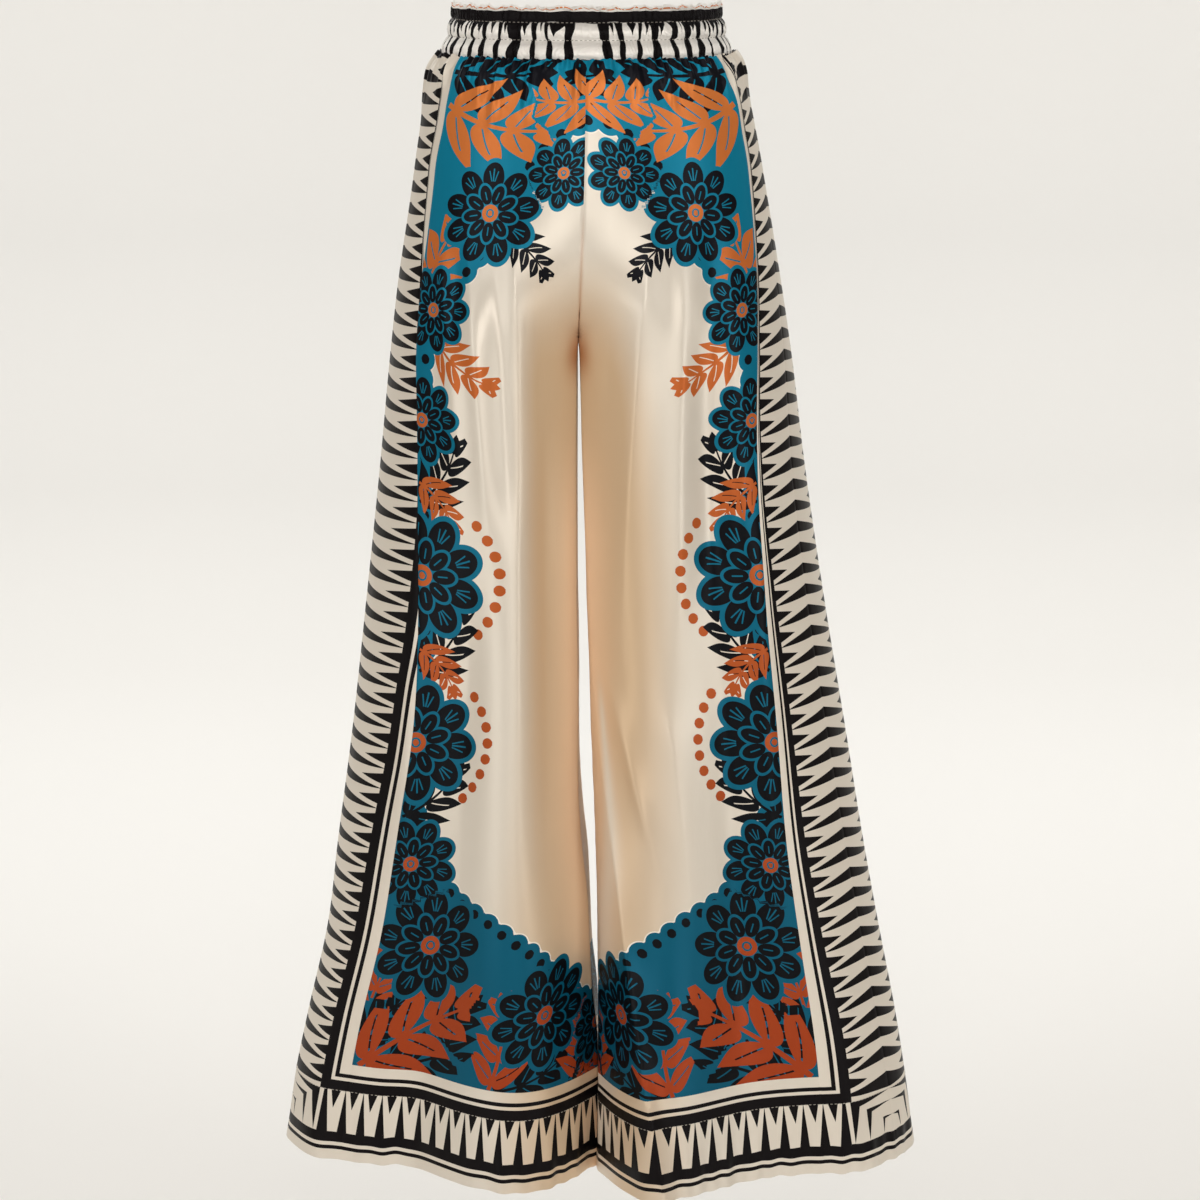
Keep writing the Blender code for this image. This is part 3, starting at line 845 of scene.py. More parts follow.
def hem_ink(height, count):
    """1 where the hem border is black, given the height over the hem edge in millimetres, and the
    depth within its teeth, from 0 at their top to 1 at their foot."""
    depth = (TEETH_TOP - height) / (TEETH_TOP - TEETH_FOOT)
    pale = tooth_mask(count, depth).most(corner_arm(count, depth))
    teeth = height.between(TEETH_FOOT, TEETH_TOP) * (1.0 - pale)
    return teeth.most(on_lines(height, HEM_LINES)), depth


PETALS = 9.0                # in each ring
LEAF_PAIRS = 4.0


def flower_masks(tree):
    """Masks of a round flower: its teal ground, navy petals in two rings, and orange heart."""
    right, up, away = read_values(tree, "flower")
    near = away.below(1.2)
    angle = up.maths("ARCTAN2", right) / (2 * np.pi)

    def petals(middle, length, width, shift):
        """Below 1 on a ring of petals, each an ellipse, and the way off a petal's own middle line."""
        sector = ((angle * PETALS + shift + 64.0).fraction() - 0.5) * (2 * np.pi / PETALS)
        along = (away * sector.cosine() - middle) / length
        side = away * sector.sine()
        beside = side / width
        return along * along + beside * beside, side

    outer, outer_side = petals(0.67, 0.29, 0.215, 0.5)
    ground, _ = petals(0.67, 0.375, 0.290, 0.5)
    inner, inner_side = petals(0.36, 0.185, 0.112, 0.0)
    inner_ground, _ = petals(0.36, 0.235, 0.152, 0.0)
    teal = ground.below(1.0).most(away.below(0.66)) * near
    navy = outer.below(1.0) * near * inner_ground.above(1.0)
    veins = outer_side.size().below(0.013) * away.between(0.60, 0.84)
    spread = (outer_side.size() - (away - 0.50) * 0.30).size()
    veins = veins.most(spread.below(0.011) * away.between(0.60, 0.80))
    navy = navy * (1.0 - veins)
    inner_veins = inner_side.size().below(0.011) * away.between(0.26, 0.42)
    navy = navy.most(inner.below(1.0) * (1.0 - inner_veins))
    heart = away.below(0.165) * (1.0 - away.between(0.055, 0.085))
    return teal, navy, heart


def spray_mask(tree, name):
    """Mask of a spray of broad pointed leaves, in pairs along a bent stem that ends in a leaf. A
    leaf is a band that leans forward from the stem, sin(pi r^0.7) thick at its own length's share r."""
    along, off, away = read_values(tree, name)
    aside = off.size()
    leaning = (along - aside * (aside * 0.9 + 0.62)) * LEAF_PAIRS + 0.15
    middle = leaning.floor() / LEAF_PAIRS + 0.5 / LEAF_PAIRS
    leaf_length = (1.0 - middle).most(0.02) ** 0.6 * 0.330 + 0.04
    reach = (aside / leaf_length).least(1.0)
    thickness = (reach ** 0.70 * np.pi).sine() * 0.47
    gap = (leaning.fraction() - 0.5).size()
    leaves = gap.below(thickness) * leaning.between(0.0, LEAF_PAIRS - 0.2)
    leaves = leaves * (1.0 - gap.below(0.030) * reach.between(0.12, 0.66))
    stem = aside.below(0.020 - along * 0.014) * along.between(0.0, 0.90)
    tip_share = ((along - 0.76) / 0.24).least(1.0).most(0.0)
    tip = aside.below((tip_share ** 0.8 * np.pi).sine() * 0.062) * along.between(0.76, 1.0)
    return leaves.most(stem).most(tip) * away.below(0.99)


SATIN_METAL = 0.20          # share of light that the floats of the weave mirror in the dye's colour
SATIN_IOR = 1.45
SATIN_SPECULAR = 0.13
CRINKLE = (70.0, 3.0, (1.0, 1.0, 0.22))     # scale and detail of the noise, and how it is drawn out
WEAVE = (1500.0, 1.0, (1.0, 1.0, 0.2))
CRINKLE_STRENGTH = 0.25
CRINKLE_DEPTH = 0.0012
WEAVE_STRENGTH = 0.12
WEAVE_DEPTH = 0.0002
ROUGHNESS_RANGE = (-0.05, 0.07)             # how far the crinkles change the roughness
REVERSE = (0.62, 0.56, 0.48)                # what the inner face's colour is mixed with, and
REVERSE_SHARE = 0.42                        # how much of it
PANEL_ROUGHNESS = 0.36
REVERSE_ROUGHNESS = 0.62


def cloth_noise(tree, scale, detail, stretch):
    """Noise in the object's own place, drawn out by the stretch."""
    place = tree.nodes.new("ShaderNodeTexCoord").outputs["Object"]
    drawn = add_node(tree, "Mapping", {"Scale": stretch, "Vector": place}).outputs["Vector"]
    noise = add_node(tree, "TexNoise", {"Scale": scale, "Detail": detail, "Vector": drawn})
    return noise.outputs["Fac"]


def finish_silk(material, colour, roughness, crinkle_strength, folds=None):
    """Satin finish: the given colour, the print and on the main panels also painted shade and light, under
    soft gloss, a fine weave, faint crinkles, and small folds where they are given as a height in
    millimetres."""
    tree = material.node_tree
    crinkle = cloth_noise(tree, *CRINKLE)
    weave = cloth_noise(tree, *WEAVE)
    reliefs = [(crinkle, crinkle_strength, CRINKLE_DEPTH), (weave, WEAVE_STRENGTH, WEAVE_DEPTH)]
    if folds is not None:
        reliefs.insert(0, (folds, 1.0, 0.001))
    bump = {}
    for height, strength, distance in reliefs:
        bump.update({"Height": height, "Strength": strength, "Distance": distance})
        bump = {"Normal": add_node(tree, "Bump", bump).outputs["Normal"]}
    low, high = ROUGHNESS_RANGE
    gloss = add_node(tree, "MapRange", {"Value": crinkle, "To Min": roughness + low,
                                        "To Max": roughness + high})
    feed(tree, tree.nodes["Principled BSDF"], {
        "Base Color": colour,
        "Metallic": SATIN_METAL,
        "IOR": SATIN_IOR,
        "Specular IOR Level": SATIN_SPECULAR,
        "Roughness": gloss.outputs["Result"],
        "Normal": bump["Normal"],
    })


def reverse_side(tree, colour):
    """The print as it shows through on the cloth's matt inner face: paler and greyer."""
    return mix_colours(tree, REVERSE_SHARE, colour, REVERSE)


def new_material(name):
    material = bpy.data.materials.new(name)
    material.use_nodes = True
    return material


def printed_silk(name, inside):
    """Satin with the flower print over the cream, painted shade and light along the inner legs, and the
    sawtooth border round the hem.
    """
    material = new_material(name)
    tree = material.node_tree
    across, height, count = read_values(tree, "place")
    teal = read_value(tree, "teal")
    dots = read_value(tree, "dots")
    frame_band = height - TEETH_TOP
    printed = frame_band.above(FRAME_HEM)
    ink, _ = hem_ink(height, count)
    flower_ground, petals, heart = flower_masks(tree)
    orange = spray_mask(tree, "orange_spray")
    navy = spray_mask(tree, "navy_spray")
    down = (1.0 - height / (LENGTH * 1000)).most(0.0) ** DYE_FADE
    teal_dye, navy_dye, orange_dye = [mix_colours(tree, down, *pair)
                                      for pair in (TEAL, NAVY, ORANGE)]
    # Painted shade along the inner legs, painted light beside the gap, and painted shade at the crotch and
    # middle seam, under the print
    painted_tan, painted_glow, shade = read_values(tree, "painted_shading")
    colouring = Colouring(tree, mix_colours(tree, painted_tan, CREAM, PAINTED_SHADE_TAN))
    colouring.over(painted_glow * PAINTED_GLOW_STRENGTH, PAINTED_GLOW)
    colouring.over(shade * SHADE_STRENGTH, SHADE)
    colouring.over(teal.above(-PALE_EDGE_WIDTH) * printed, PALE_EDGE)
    colouring.over(teal.above(0.0) * printed, teal_dye)
    colouring.over(dots.above(0.0) * printed, navy_dye)
    colouring.over(read_value(tree, "beads").above(0.0) * printed, orange_dye)
    colouring.over(navy * printed, navy_dye)
    colouring.over(orange * printed, orange_dye)
    colouring.over(flower_ground * printed, teal_dye)
    colouring.over(petals * printed, navy_dye)
    colouring.over(heart * printed, orange_dye)
    colouring.over(on_lines(frame_band, FRAME_LINES).most(ink), INK)
    colour = reverse_side(tree, colouring.colour) if inside else colouring.colour
    finish_silk(material, colour, REVERSE_ROUGHNESS if inside else PANEL_ROUGHNESS, CRINKLE_STRENGTH)
    return material


panel_materials = [printed_silk("printed_satin", False), printed_silk("printed_satin_reverse", True)]


def hang_sheet(cloth, node):
    """Hangs a panel from the root, in place of its solid, which it hides."""
    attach(cloth, "root")
    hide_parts(node)


MAIN_PANELS = (("front", "front_panel", "front_inseam"), ("back", "back_panel", "back_inseam"))
for leg in ("right", "left"):
    for face, start, end in MAIN_PANELS:
        points, normal, drop, across, share = panel_grid(leg, start, end, panel_drops(PANEL_ROWS),
                                                         PANEL_COLUMNS)
        hem_width = across[-1, -1]
        wall = np.where(drop > LENGTH - HEM_DEPTH, HEM_CLOTH, CLOTH)
        teal, dots, beads = teal_and_dots(across, drop)
        values = {
            "place": np.stack([across * 1000, (LENGTH - drop) * 1000,
                               (share * hem_width * 1000 + FRAME_SIDE) / TOOTH_PITCH], -1),
            # painted shade and light along the inner legs
            "painted_shading": painted_inner_shading(leg, points[..., 0], drop),
            "teal": teal,
            "dots": dots,
            "beads": beads,
            "flower": nearest_flower(across, drop),
            "orange_spray": nearest_spray(across, drop, ORANGE_SPRAYS),
            "navy_spray": nearest_spray(across, drop, NAVY_SPRAYS),
        }
        cloth = make_wall(f"{leg}_{face}_satin", points, normal, wall, values, panel_materials)
        hang_sheet(cloth, f"{leg}_{face}_panel")


# Side borders, a front and a back strip on each leg: satin printed with a frame of lines and a
# row of teeth, sewn between the main panel and the side seam, with mitred brackets at the hem.

BORDER_COLUMNS = 36
BORDER_ROUGHNESS = 0.42
STRIPS = (
    ("drop", "right_frame", "right_scale", "left_frame", "left_scale"),
    (0.000, 10.0, 0.12, 7.0, 0.12),
    (0.100, 9.5, 0.12, 5.0, 0.12),
    (0.160, 6.0, 0.12, 3.0, 0.12),
    (0.200, 1.2, 0.30, 2.5, 0.12),
    (0.300, 0.0, 0.80, 3.5, 0.14),
    (0.400, 1.0, 1.00, 7.0, 0.24),
    (0.480, 10.0, 1.00, 11.5, 0.40),
    (0.520, 15.5, 1.00, 13.5, 0.46),
    (0.560, 22.0, 1.00, 15.0, 0.51),
    (0.650, 27.5, 1.00, 17.5, 0.60),
    (0.800, 29.5, 1.00, 22.5, 0.76),
    (0.920, 29.5, 1.00, 29.0, 0.98),
    (1.030, 29.5, 1.00, 29.5, 1.00),
)
STRIP_TAPER = (0.300, 0.235)

# Lean of the strips' teeth, in teeth, and the height over the hem's teeth where it is full
TEETH_LEAN = {"right": 0.12, "left": 0.46}
LEAN_RISE = 40.0

# Brackets at the hem's corner, in shares of the corner: where they begin across and upwards, their
# own reach across and upwards, and their arms' thickness
BRACKETS = (
    (1.50, 1.50, 0.965, 1.00, 0.18, 0.17),
    (0.66, 0.74, 0.66, 0.74, 0.143, 0.12),
    (0.25, 0.40, 0.25, 0.40, 0.071, 0.083),
)


def bracket_ink(side, height):
    """1 on nested brackets round the side seam's foot, whose arms taper to their ends."""
    ink = None
    for begin_across, begin_up, across, up, upright, level in BRACKETS:
        outer = side.below(begin_across) * height.below(begin_up)
        inner = (side.below(across - height * (upright / up))
                 * height.below(up - side * (level / across)))
        ring = outer * (1.0 - inner)
        ink = ring if ink is None else ink.most(ring)
    return ink


def border_silk(name, inside):
    """Satin with frame lines and a row of teeth down its length, and the hem border at its foot."""
    material = new_material(name)
    tree = material.node_tree
    depth, climb, frame_place = read_values(tree, "strip")
    height, count, side = read_values(tree, "place")
    hem, hem_depth = hem_ink(height, count)
    above_hem = height.above(TEETH_TOP)
    depth = depth.most(0.0)
    pale = tooth_mask(climb, depth, STRIP_TAPER).most(corner_arm(climb, depth))
    teeth = (1.0 - pale) * frame_place.below(0.0)
    lines = on_lines(frame_place.least(height - TEETH_TOP), FRAME_LINES) * frame_place.above(0.0)
    corner = bracket_ink(side, (height - TEETH_FOOT) / (TEETH_TOP - TEETH_FOOT))
    in_corner = count.below(hem_depth * -0.10) * height.between(TEETH_FOOT, TEETH_TOP)
    upper = teeth.most(lines) * above_hem
    lower = hem * (1.0 - in_corner) + corner * in_corner
    colouring = Colouring(tree, CREAM)
    colouring.over(upper.most(lower * (1.0 - above_hem)), INK)
    colour = reverse_side(tree, colouring.colour) if inside else colouring.colour
    finish_silk(material, colour, REVERSE_ROUGHNESS if inside else BORDER_ROUGHNESS, CRINKLE_STRENGTH)
    return material


border_materials = [border_silk("border_satin", False), border_silk("border_satin_reverse", True)]

for leg in ("right", "left"):
    for face in ("front", "back"):
        points, normal, drop, across, share = panel_grid(leg, f"{face}_panel", "side",
                                                         panel_drops(PANEL_ROWS), BORDER_COLUMNS)
        width = across[:, -1:] * 1000
        hem_width = width[-1, 0]
        frame_width = curve(drop, STRIPS, leg + "_frame")
        scale = curve(drop, STRIPS, leg + "_scale")
        height = (LENGTH - drop) * 1000
        from_panel = across * 1000
        in_teeth = (from_panel - frame_width) / (width - frame_width)
        frame_place = (frame_width - from_panel) / scale * (FRAME_HEM / FRAME_SIDE)
        lean = TEETH_LEAN[leg] * ease((height - TEETH_TOP) / LEAN_RISE)
        climb = (height - TEETH_TOP) / TOOTH_PITCH - lean * np.clip(in_teeth, 0.0, 1.0)
        values = {
            "strip": np.stack([in_teeth, climb, frame_place], -1),
            "place": np.stack([height, (FRAME_SIDE - share * hem_width) / TOOTH_PITCH,
                               (1 - share) * hem_width / (hem_width - FRAME_SIDE)], -1),
        }
        wall = np.where(drop > LENGTH - HEM_DEPTH, HEM_CLOTH, CLOTH)
        cloth = make_wall(f"{leg}_{face}_border_satin", points, normal, wall, values, border_materials)
        hang_sheet(cloth, f"{leg}_{face}_border")


# Waistband: one ring of printed satin folded round two rows of elastic, which gather it into
# puffs, with a small ruffled heading on top. Its stripes lie in the valleys between the puffs.

BAND_HEIGHT = 0.0455
UPRIGHT = (0, 0, 1)         # a point times this lies on the band's upright axis
BACK_DIP = 0.0100           # how much lower the band's top lies at the back
BAND_CREAM = (0.960, 0.920, 0.860)
BAND_WALL = 0.0022
BAND_GATHERS = 48
BAND_WAVE = 0.0034          # depth of the valleys between the puffs
BAND_ROWS = 64
BAND_COLUMNS_ROUND = 1080
LOWER_PINCH = 0.0165
UPPER_PINCH = 0.0315
PATCH_HALF_WIDTH = 0.0095   # a smooth place at the middle of the front

# Crest: how far the puffs' crests lie inside the waist's ring. Stripe: share of a gather that is
# black in its valley, and wedge: on its puff. Soft: how much of a puff is one round form, and not
# narrow wrinkles.
BAND_PROFILE = (
    ("height", "crest", "wave", "stripe", "wedge", "soft"),
    (0.0000, -0.0006, 0.45, 0.38, 0.00, 0.7),
    (0.0025, -0.0010, 0.80, 0.40, 0.00, 1.0),
    (0.0080, -0.0004, 1.00, 0.42, 0.00, 1.0),
    (0.0125, 0.0020, 0.90, 0.38, 0.00, 0.9),
    (0.0152, 0.0042, 0.55, 0.32, 0.00, 0.5),
    (0.0165, 0.0054, 0.35, 0.30, 0.00, 0.3),
    (0.0180, 0.0044, 0.60, 0.32, 0.00, 0.3),
    (0.0225, 0.0038, 1.00, 0.36, 0.06, 0.4),
    (0.0270, 0.0048, 0.90, 0.42, 0.22, 0.3),
    (0.0300, 0.0068, 0.60, 0.50, 0.38, 0.2),
    (0.0315, 0.0084, 0.35, 0.58, 0.48, 0.2),
    (0.0330, 0.0076, 0.50, 1.40, 1.40, 0.3),
    (0.0375, 0.0072, 0.70, 1.40, 1.40, 0.3),
    (0.0415, 0.0074, 0.80, 1.40, 1.40, 0.3),
    (0.0440, 0.0076, 0.90, 1.40, 1.40, 0.3),
    (0.0455, 0.0088, 0.80, 1.40, 1.40, 0.3),
)
PALE_LINING = (0.92, 0.89, 0.85)
FOLD_BUMP = 1.1             # height of the band's small folds, and their width and length, in mm
FOLD_SIZE = (2.1, 15.0)
BAND_ROUGHNESS = 0.40
BAND_CRINKLE = 0.35
HEADING_TOP = 41.2          # upper edge of the black heading, and the orange line, in mm
ORANGE_LINE = 43.4


def gather_count(angle, height):
    """Count of gathers round the band, a little uneven, whose valleys lean and sway upwards."""
    uneven = 0.10 * np.sin(5 * angle + 0.7) + 0.07 * np.sin(11 * angle + 2.1)
    uneven = uneven + 0.035 * np.sin(23 * angle)
    lean = 4.0 * np.sin(3 * angle + 0.4) + 5.0 * np.sin(13 * angle + 1.0)
    sway = 0.030 * np.sin(260 * height + 9 * angle)
    upper = ease((height - LOWER_PINCH + 0.001) / 0.003)
    shift = upper * (0.12 * np.sin(17 * angle + 0.5) + 0.08 * np.sin(37 * angle))
    return BAND_GATHERS * angle / (2 * np.pi) + uneven + lean * (height - 0.012) + sway + shift


def band_surface(angle, height):
    """Outer face of the band: the waist's ring, drawn in by the elastic, with round puffs between
    sharp valleys, |sin|^0.7, twice as many above the lower elastic, and narrow wrinkles."""
    half_width = 0.5 * (curve(0.0, SECTIONS, "right_edge")
                        + curve(0.0, SECTIONS, "left_edge"))
    sine = np.sin(angle)
    depth = np.where(sine > 0, curve(0.0, SECTIONS, "back"),
                     curve(0.0, SECTIONS, "front"))
    crest, wave, soft = [curve(height, BAND_PROFILE, name)
                         for name in ("crest", "wave", "soft")]
    count = gather_count(angle, height)
    upper_part = ease((height - LOWER_PINCH) / 0.004)
    puff = np.abs(np.sin(np.pi * count)) ** 0.7
    half_puff = np.abs(np.sin(2 * np.pi * count)) ** 0.6
    puff = puff * (1 - 0.55 * upper_part) + half_puff * 0.55 * upper_part
    narrow = np.abs(np.sin(2.5 * np.pi * count + 1.5 * np.sin(5 * angle) + 60 * height)) ** 0.8
    fine = 0.5 + 0.5 * np.sin(2 * np.pi * (5.2 * count + 0.6 * np.sin(7 * angle + 300 * height)))
    gather = puff * (0.50 + 0.30 * soft) + narrow * 0.36 * (1 - soft) + fine * 0.15
    x = (half_width - crest) * np.cos(angle)
    patch = ease((PATCH_HALF_WIDTH + 0.0015 - np.abs(x)) / 0.0015) * (sine < 0)
    upper = ease((height - LOWER_PINCH) / 0.003) * ease((UPPER_PINCH - height) / 0.003)
    smooth = 0.80 - 0.35 * upper * np.exp(-((np.abs(x) - 0.0032) / 0.0011) ** 2)
    gather = gather * (1 - patch) + smooth * patch
    reach = -BAND_WAVE * wave * (1 - gather)
    y = (depth - crest) * np.sign(sine) * np.abs(sine) ** (1.0 - TORSO_SQUARENESS)
    rim = ease((height - 0.040) / 0.005)
    z = height + rim * (0.0009 * np.sin(2 * np.pi * count * 1.3) + 0.0007 * np.sin(31 * angle))
    z = z + 0.0005 * np.exp(-(height / 0.004) ** 2) * np.sin(2 * np.pi * count) ** 2
    z = z - BACK_DIP * (height / BAND_HEIGHT) ** 2 * ease((sine + 0.1) / 0.9)
    return np.stack([x + reach * np.cos(angle), y + reach * sine, z], -1)


def stripe_distance(angle, height):
    """Signed distance, in shares of a gather, into the black stripes: one in each valley, and one
    on each puff that hangs down as a wedge from the heading. Both sway a little and differ in width."""
    count = gather_count(angle, height)
    best = None
    for shift, column in ((0.0, "stripe"), (0.5, "wedge")):
        whole = np.round(count - shift) + shift
        own = 1.0 + 0.34 * np.sin(whole * 2.4) + 0.16 * np.sin(whole * 5.1 + 1)
        if shift:
            own = own * (0.85 + 0.30 * np.sin(whole * 3.3))
        sway = 0.025 * np.sin(220 * height + whole * 3) * ease(height / 0.006)
        width = 0.5 * curve(height, BAND_PROFILE, column) * own
        inside = width - np.abs(count - whole + sway)
        best = inside if best is None else np.maximum(best, inside)
    return best


def band_silk(name, inside):
    """Cream satin with uneven black stripes, a black heading, small folds along the height, and a
    cream roll with a broken orange line along the top."""
    material = new_material(name)
    tree = material.node_tree
    stripe, height, patch = read_values(tree, "band")
    ripple, way_round, _ = read_values(tree, "ripple")
    stripes = stripe.above(0.0) * (1.0 - patch) * height.below(UPPER_PINCH * 1000 + 0.5)
    heading = (height - ripple * 0.9).above(UPPER_PINCH * 1000) * (height - ripple * 0.5).below(HEADING_TOP)
    line = (height - (ORANGE_LINE + ripple * 0.7)).size().below(0.5)
    line = line * (ripple * 2.1 + height * 0.13).fraction().above(0.30)
    place = add_node(tree, "CombineXYZ", {"X": way_round / FOLD_SIZE[0], "Y": height / FOLD_SIZE[1]})
    folds = add_node(tree, "TexNoise", {"Scale": 1.0, "Detail": 2.0, "Vector": place.outputs["Vector"]})
    colouring = Colouring(tree, PALE_LINING if inside else BAND_CREAM)
    if not inside:
        colouring.over(stripes, INK)
        colouring.over(heading, INK)
    colouring.over(line, ORANGE[0])
    colouring.over(height.below(0.4), INK)
    finish_silk(material, colouring.colour, REVERSE_ROUGHNESS if inside else BAND_ROUGHNESS, BAND_CRINKLE,
                Measure(tree, folds.outputs["Fac"]) * FOLD_BUMP)
    return material


band_materials = [band_silk("striped_satin", False), band_silk("striped_satin_reverse", True)]
from_back = np.linspace(0, 2 * np.pi, BAND_COLUMNS_ROUND + 1) + np.pi / 2
height, angle = np.meshgrid(np.linspace(0.0, BAND_HEIGHT, BAND_ROWS + 1), from_back, indexing="ij")
points = band_surface(angle, height)
normal = outward_normals(points, points * UPRIGHT)
ripple = 0.6 * np.sin(13 * angle + 400 * height) + 0.4 * np.sin(29 * angle - 300 * height + 1)
patch = (np.abs(points[..., 0]) < PATCH_HALF_WIDTH) & (points[..., 1] < 0)
way_round = np.cumsum(np.linalg.norm(np.gradient(points, axis=1), axis=-1), axis=1)
values = {
    "band": np.stack([stripe_distance(angle, height), height * 1000, patch * 1.0], -1),
    "ripple": np.stack([ripple, way_round * 1000, 0 * ripple], -1),
}
band = make_wall("waistband_satin", points, normal, np.full(height.shape, BAND_WALL), values,
                 band_materials)
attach(band, "root")
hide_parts("waistband")


# Sewing: a row of pale stitches holds the turned-up hem, and two rows hold the elastic. Each
# stitch is a small six-sided bead of thread lying on the cloth.

STITCH_LENGTH = 0.0026
STITCH_PITCH = 0.0040
STITCH_RADIUS = 0.00032
STITCH_RISE = 0.00015
THREAD_PALE = (0.55, 0.50, 0.42)
THREAD_ELASTIC = (0.42, 0.38, 0.33)
NEIGHBOURS = np.array([-1.0, 0.0, 1.0])     # a stitched line and a row on each side, for normals


def stitch_row(name, path, normals, thread):
    """Stitches along a closed path: the path is walked at even steps, and at each step stands a
    bead with six sides, pointed at both ends."""
    closed = np.concatenate([path, path[:1]])
    steps = np.linalg.norm(np.diff(closed, axis=0), axis=-1)
    along = np.concatenate([[0], np.cumsum(steps)])
    count = int(along[-1] / STITCH_PITCH)
    marks = np.arange(count) * along[-1] / count

    def at(places):
        return np.stack([np.interp(places % along[-1], along, closed[:, axis])
                         for axis in range(3)], -1)

    middle = at(marks)
    ahead = at(marks + STITCH_PITCH / 2) - at(marks - STITCH_PITCH / 2)
    ahead = ahead / np.linalg.norm(ahead, axis=-1, keepdims=True)
    closed_normals = np.concatenate([normals, normals[:1]])
    out = np.stack([np.interp(marks, along, closed_normals[:, axis]) for axis in range(3)], -1)
    out = out - ahead * np.sum(out * ahead, -1, keepdims=True)
    out = out / np.linalg.norm(out, axis=-1, keepdims=True)
    side = np.cross(ahead, out)
    corner = np.arange(6) * np.pi / 3
    spokes = (out[:, None, :] * np.cos(corner)[None, :, None]
              + side[:, None, :] * np.sin(corner)[None, :, None])
    rings = [(middle + ahead * share * STITCH_LENGTH + out * STITCH_RISE)[:, None, :]
             + STITCH_RADIUS * spokes for share in (-0.28, 0.28)]
    ends = [(middle + ahead * share * STITCH_LENGTH)[:, None, :] for share in (-0.5, 0.5)]
    vertices = np.concatenate([ends[0], rings[0], rings[1], ends[1]], axis=1).reshape(-1, 3)
    base = (np.arange(count) * 14)[:, None, None]
    now, after = np.arange(6), (np.arange(6) + 1) % 6
    cap_start = np.stack([0 * now, 1 + after, 1 + now], -1)
    cap_end = np.stack([0 * now + 13, 7 + now, 7 + after], -1)
    walls = np.stack([1 + now, 1 + after, 7 + after, 7 + now], -1)
    faces = (base + cap_start[None]).reshape(-1, 3).tolist()
    faces += (base + cap_end[None]).reshape(-1, 3).tolist()
    faces += (base + walls[None]).reshape(-1, 4).tolist()
    mesh = bpy.data.meshes.new(name)
    mesh.from_pydata(vertices.tolist(), [], faces)
    mesh.shade_smooth()
    mesh.materials.append(thread)
    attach(place_object(name, mesh), "root")


def thread_material(name, colour):
    """Thread whose twist shows as a slight change of colour along it."""
    material = new_material(name)
    tree = material.node_tree
    place = tree.nodes.new("ShaderNodeTexCoord").outputs["Object"]
    twist = add_node(tree, "TexNoise", {"Scale": 900.0, "Vector": place}).outputs["Fac"]
    dark = [0.75 * part for part in colour]
    feed(tree, tree.nodes["Principled BSDF"],
         {"Base Color": mix_colours(tree, twist, dark, colour), "Roughness": 0.55})
    return material


pale_thread = thread_material("pale_thread", THREAD_PALE)
stitch_drop = LENGTH - TEETH_TOP / 1000 + 0.0006 * NEIGHBOURS
for leg in ("right", "left"):
    row_points, row_normals = [], []
    for start, end in (("front_inseam", "front_panel"), ("front_panel", "side"),
                       ("side", "back_panel"), ("back_panel", "back_inseam")):
        points, normal, _, _, _ = panel_grid(leg, start, end, stitch_drop, 120)
        row_points.append(points[1, :-1])
        row_normals.append(normal[1, :-1])
    stitch_row(f"{leg}_hem_stitches", np.concatenate(row_points), np.concatenate(row_normals),
               pale_thread)

elastic_thread = thread_material("elastic_thread", THREAD_ELASTIC)
for name, pinch in (("lower_elastic_stitches", LOWER_PINCH), ("upper_elastic_stitches", UPPER_PINCH)):
    height, angle = np.meshgrid(pinch + 0.0003 * NEIGHBOURS,
                                np.linspace(0, 2 * np.pi, 1200, endpoint=False), indexing="ij")
    points = band_surface(angle, height)
    normal = outward_normals(points, points * UPRIGHT)
    stitch_row(name, points[1], normal[1], elastic_thread)


# Studio: a seamless pale floor and backdrop, soft light from above and from both sides, and a
# long lens a little above the waist.

FLOOR = (0.915, 0.885, 0.835)
FLOOR_HEIGHT = -1.34
AIR = (1.0, 0.80, 0.60)      # faint warm light from all round
AIR_LIGHT = 0.16
CAMERA_PLACE = (0.0119, -3.0, 0.20)
CAMERA_TILT = 13.15         # degrees below level
CAMERA_LENS = 99.78         # on film 36 mm wide

floor_mesh = bpy.data.meshes.new("studio_floor")
profile = np.array([(-6.0, FLOOR_HEIGHT), (3.0, FLOOR_HEIGHT), (4.0, FLOOR_HEIGHT + 0.14),
                    (4.7, FLOOR_HEIGHT + 0.6), (5.0, FLOOR_HEIGHT + 1.4), (5.0, 6.0)])
floor_points = [(x, y, z) for x in (-9.0, 9.0) for y, z in profile]
floor_faces = [(i, i + len(profile), i + 1 + len(profile), i + 1) for i in range(len(profile) - 1)]
floor_mesh.from_pydata(floor_points, [], floor_faces)
floor_mesh.shade_smooth()
paper = new_material("studio_paper")
feed(paper.node_tree, paper.node_tree.nodes["Principled BSDF"], {"Base Color": FLOOR, "Roughness": 0.9})
floor_mesh.materials.append(paper)
place_object("studio_floor", floor_mesh)


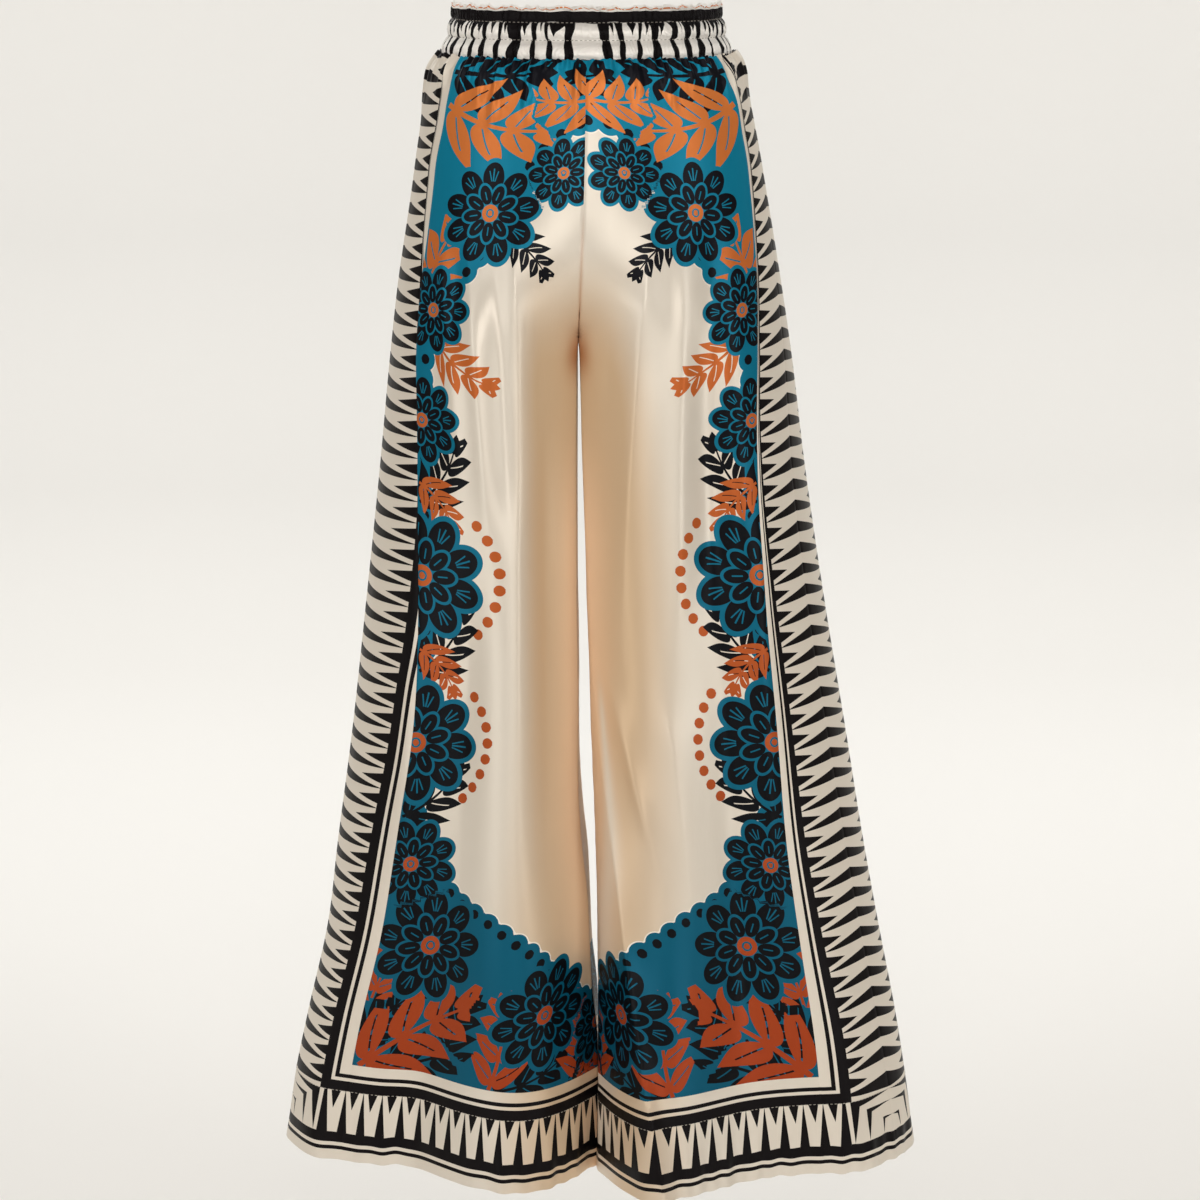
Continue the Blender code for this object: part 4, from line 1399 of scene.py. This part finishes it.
def softbox(name, place, aim, width, height, power, colour):
    """Rectangular soft light at a place, turned to its aim with its sides upright."""
    light = bpy.data.lights.new(name, "AREA")
    light.shape = "RECTANGLE"
    light.size = width
    light.size_y = height
    light.energy = power
    light.color = colour
    obj = place_object(name, light)
    obj.location = place
    ahead, aside, down = np.array(aim) - np.array(place)
    level = np.hypot(ahead, aside)
    obj.rotation_euler = (np.arctan2(level, -down), 0.0, np.arctan2(aside, ahead) - np.pi / 2)


# Place, aim, width, height, power and colour of each light
SOFTBOXES = {
    "left_softbox": ((-2.3, -2.3, -0.1), (-0.1, 0.0, -0.5), 0.7, 2.8, 25.0, (0.95, 0.98, 1.0)),
    "right_softbox": ((2.3, -2.3, -0.1), (0.1, 0.0, -0.5), 0.7, 2.8, 25.0, (0.95, 0.98, 1.0)),
    "front_softbox": ((0.0, -4.6, 0.4), (0.0, 0.0, -0.5), 1.2, 2.4, 54.0, (1.0, 0.99, 0.98)),
    "top_softbox": ((0.0, -1.6, 2.6), (0.0, 0.0, -0.2), 1.6, 1.6, 12.0, (1.0, 0.99, 0.97)),
    "floor_light": ((0.0, 2.4, 1.6), (0.0, 0.5, -1.34), 2.6, 1.2, 25.0, (0.94, 0.97, 1.0)),
    "left_backdrop_light": ((-3.0, 1.6, 2.2), (0.0, 4.4, -0.1), 1.8, 1.8, 83.0, (0.895, 0.95, 1.0)),
    "right_backdrop_light": ((3.0, 1.6, 2.2), (0.0, 4.4, -0.1), 1.8, 1.8, 83.0, (0.895, 0.95, 1.0)),
}
for name, settings in SOFTBOXES.items():
    softbox(name, *settings)

world = bpy.data.worlds.new("studio_air")
world.use_nodes = True
feed(world.node_tree, world.node_tree.nodes["Background"], {"Color": AIR, "Strength": AIR_LIGHT})
bpy.context.scene.world = world
bpy.context.scene.view_settings.view_transform = "Standard"

camera_data = bpy.data.cameras.new("camera")
camera_data.sensor_width = 36.0
camera_data.lens = CAMERA_LENS
camera = place_object("camera", camera_data)
camera.location = CAMERA_PLACE
camera.rotation_euler = (np.radians(90.0 - CAMERA_TILT), 0.0, 0.0)
bpy.context.scene.camera = camera
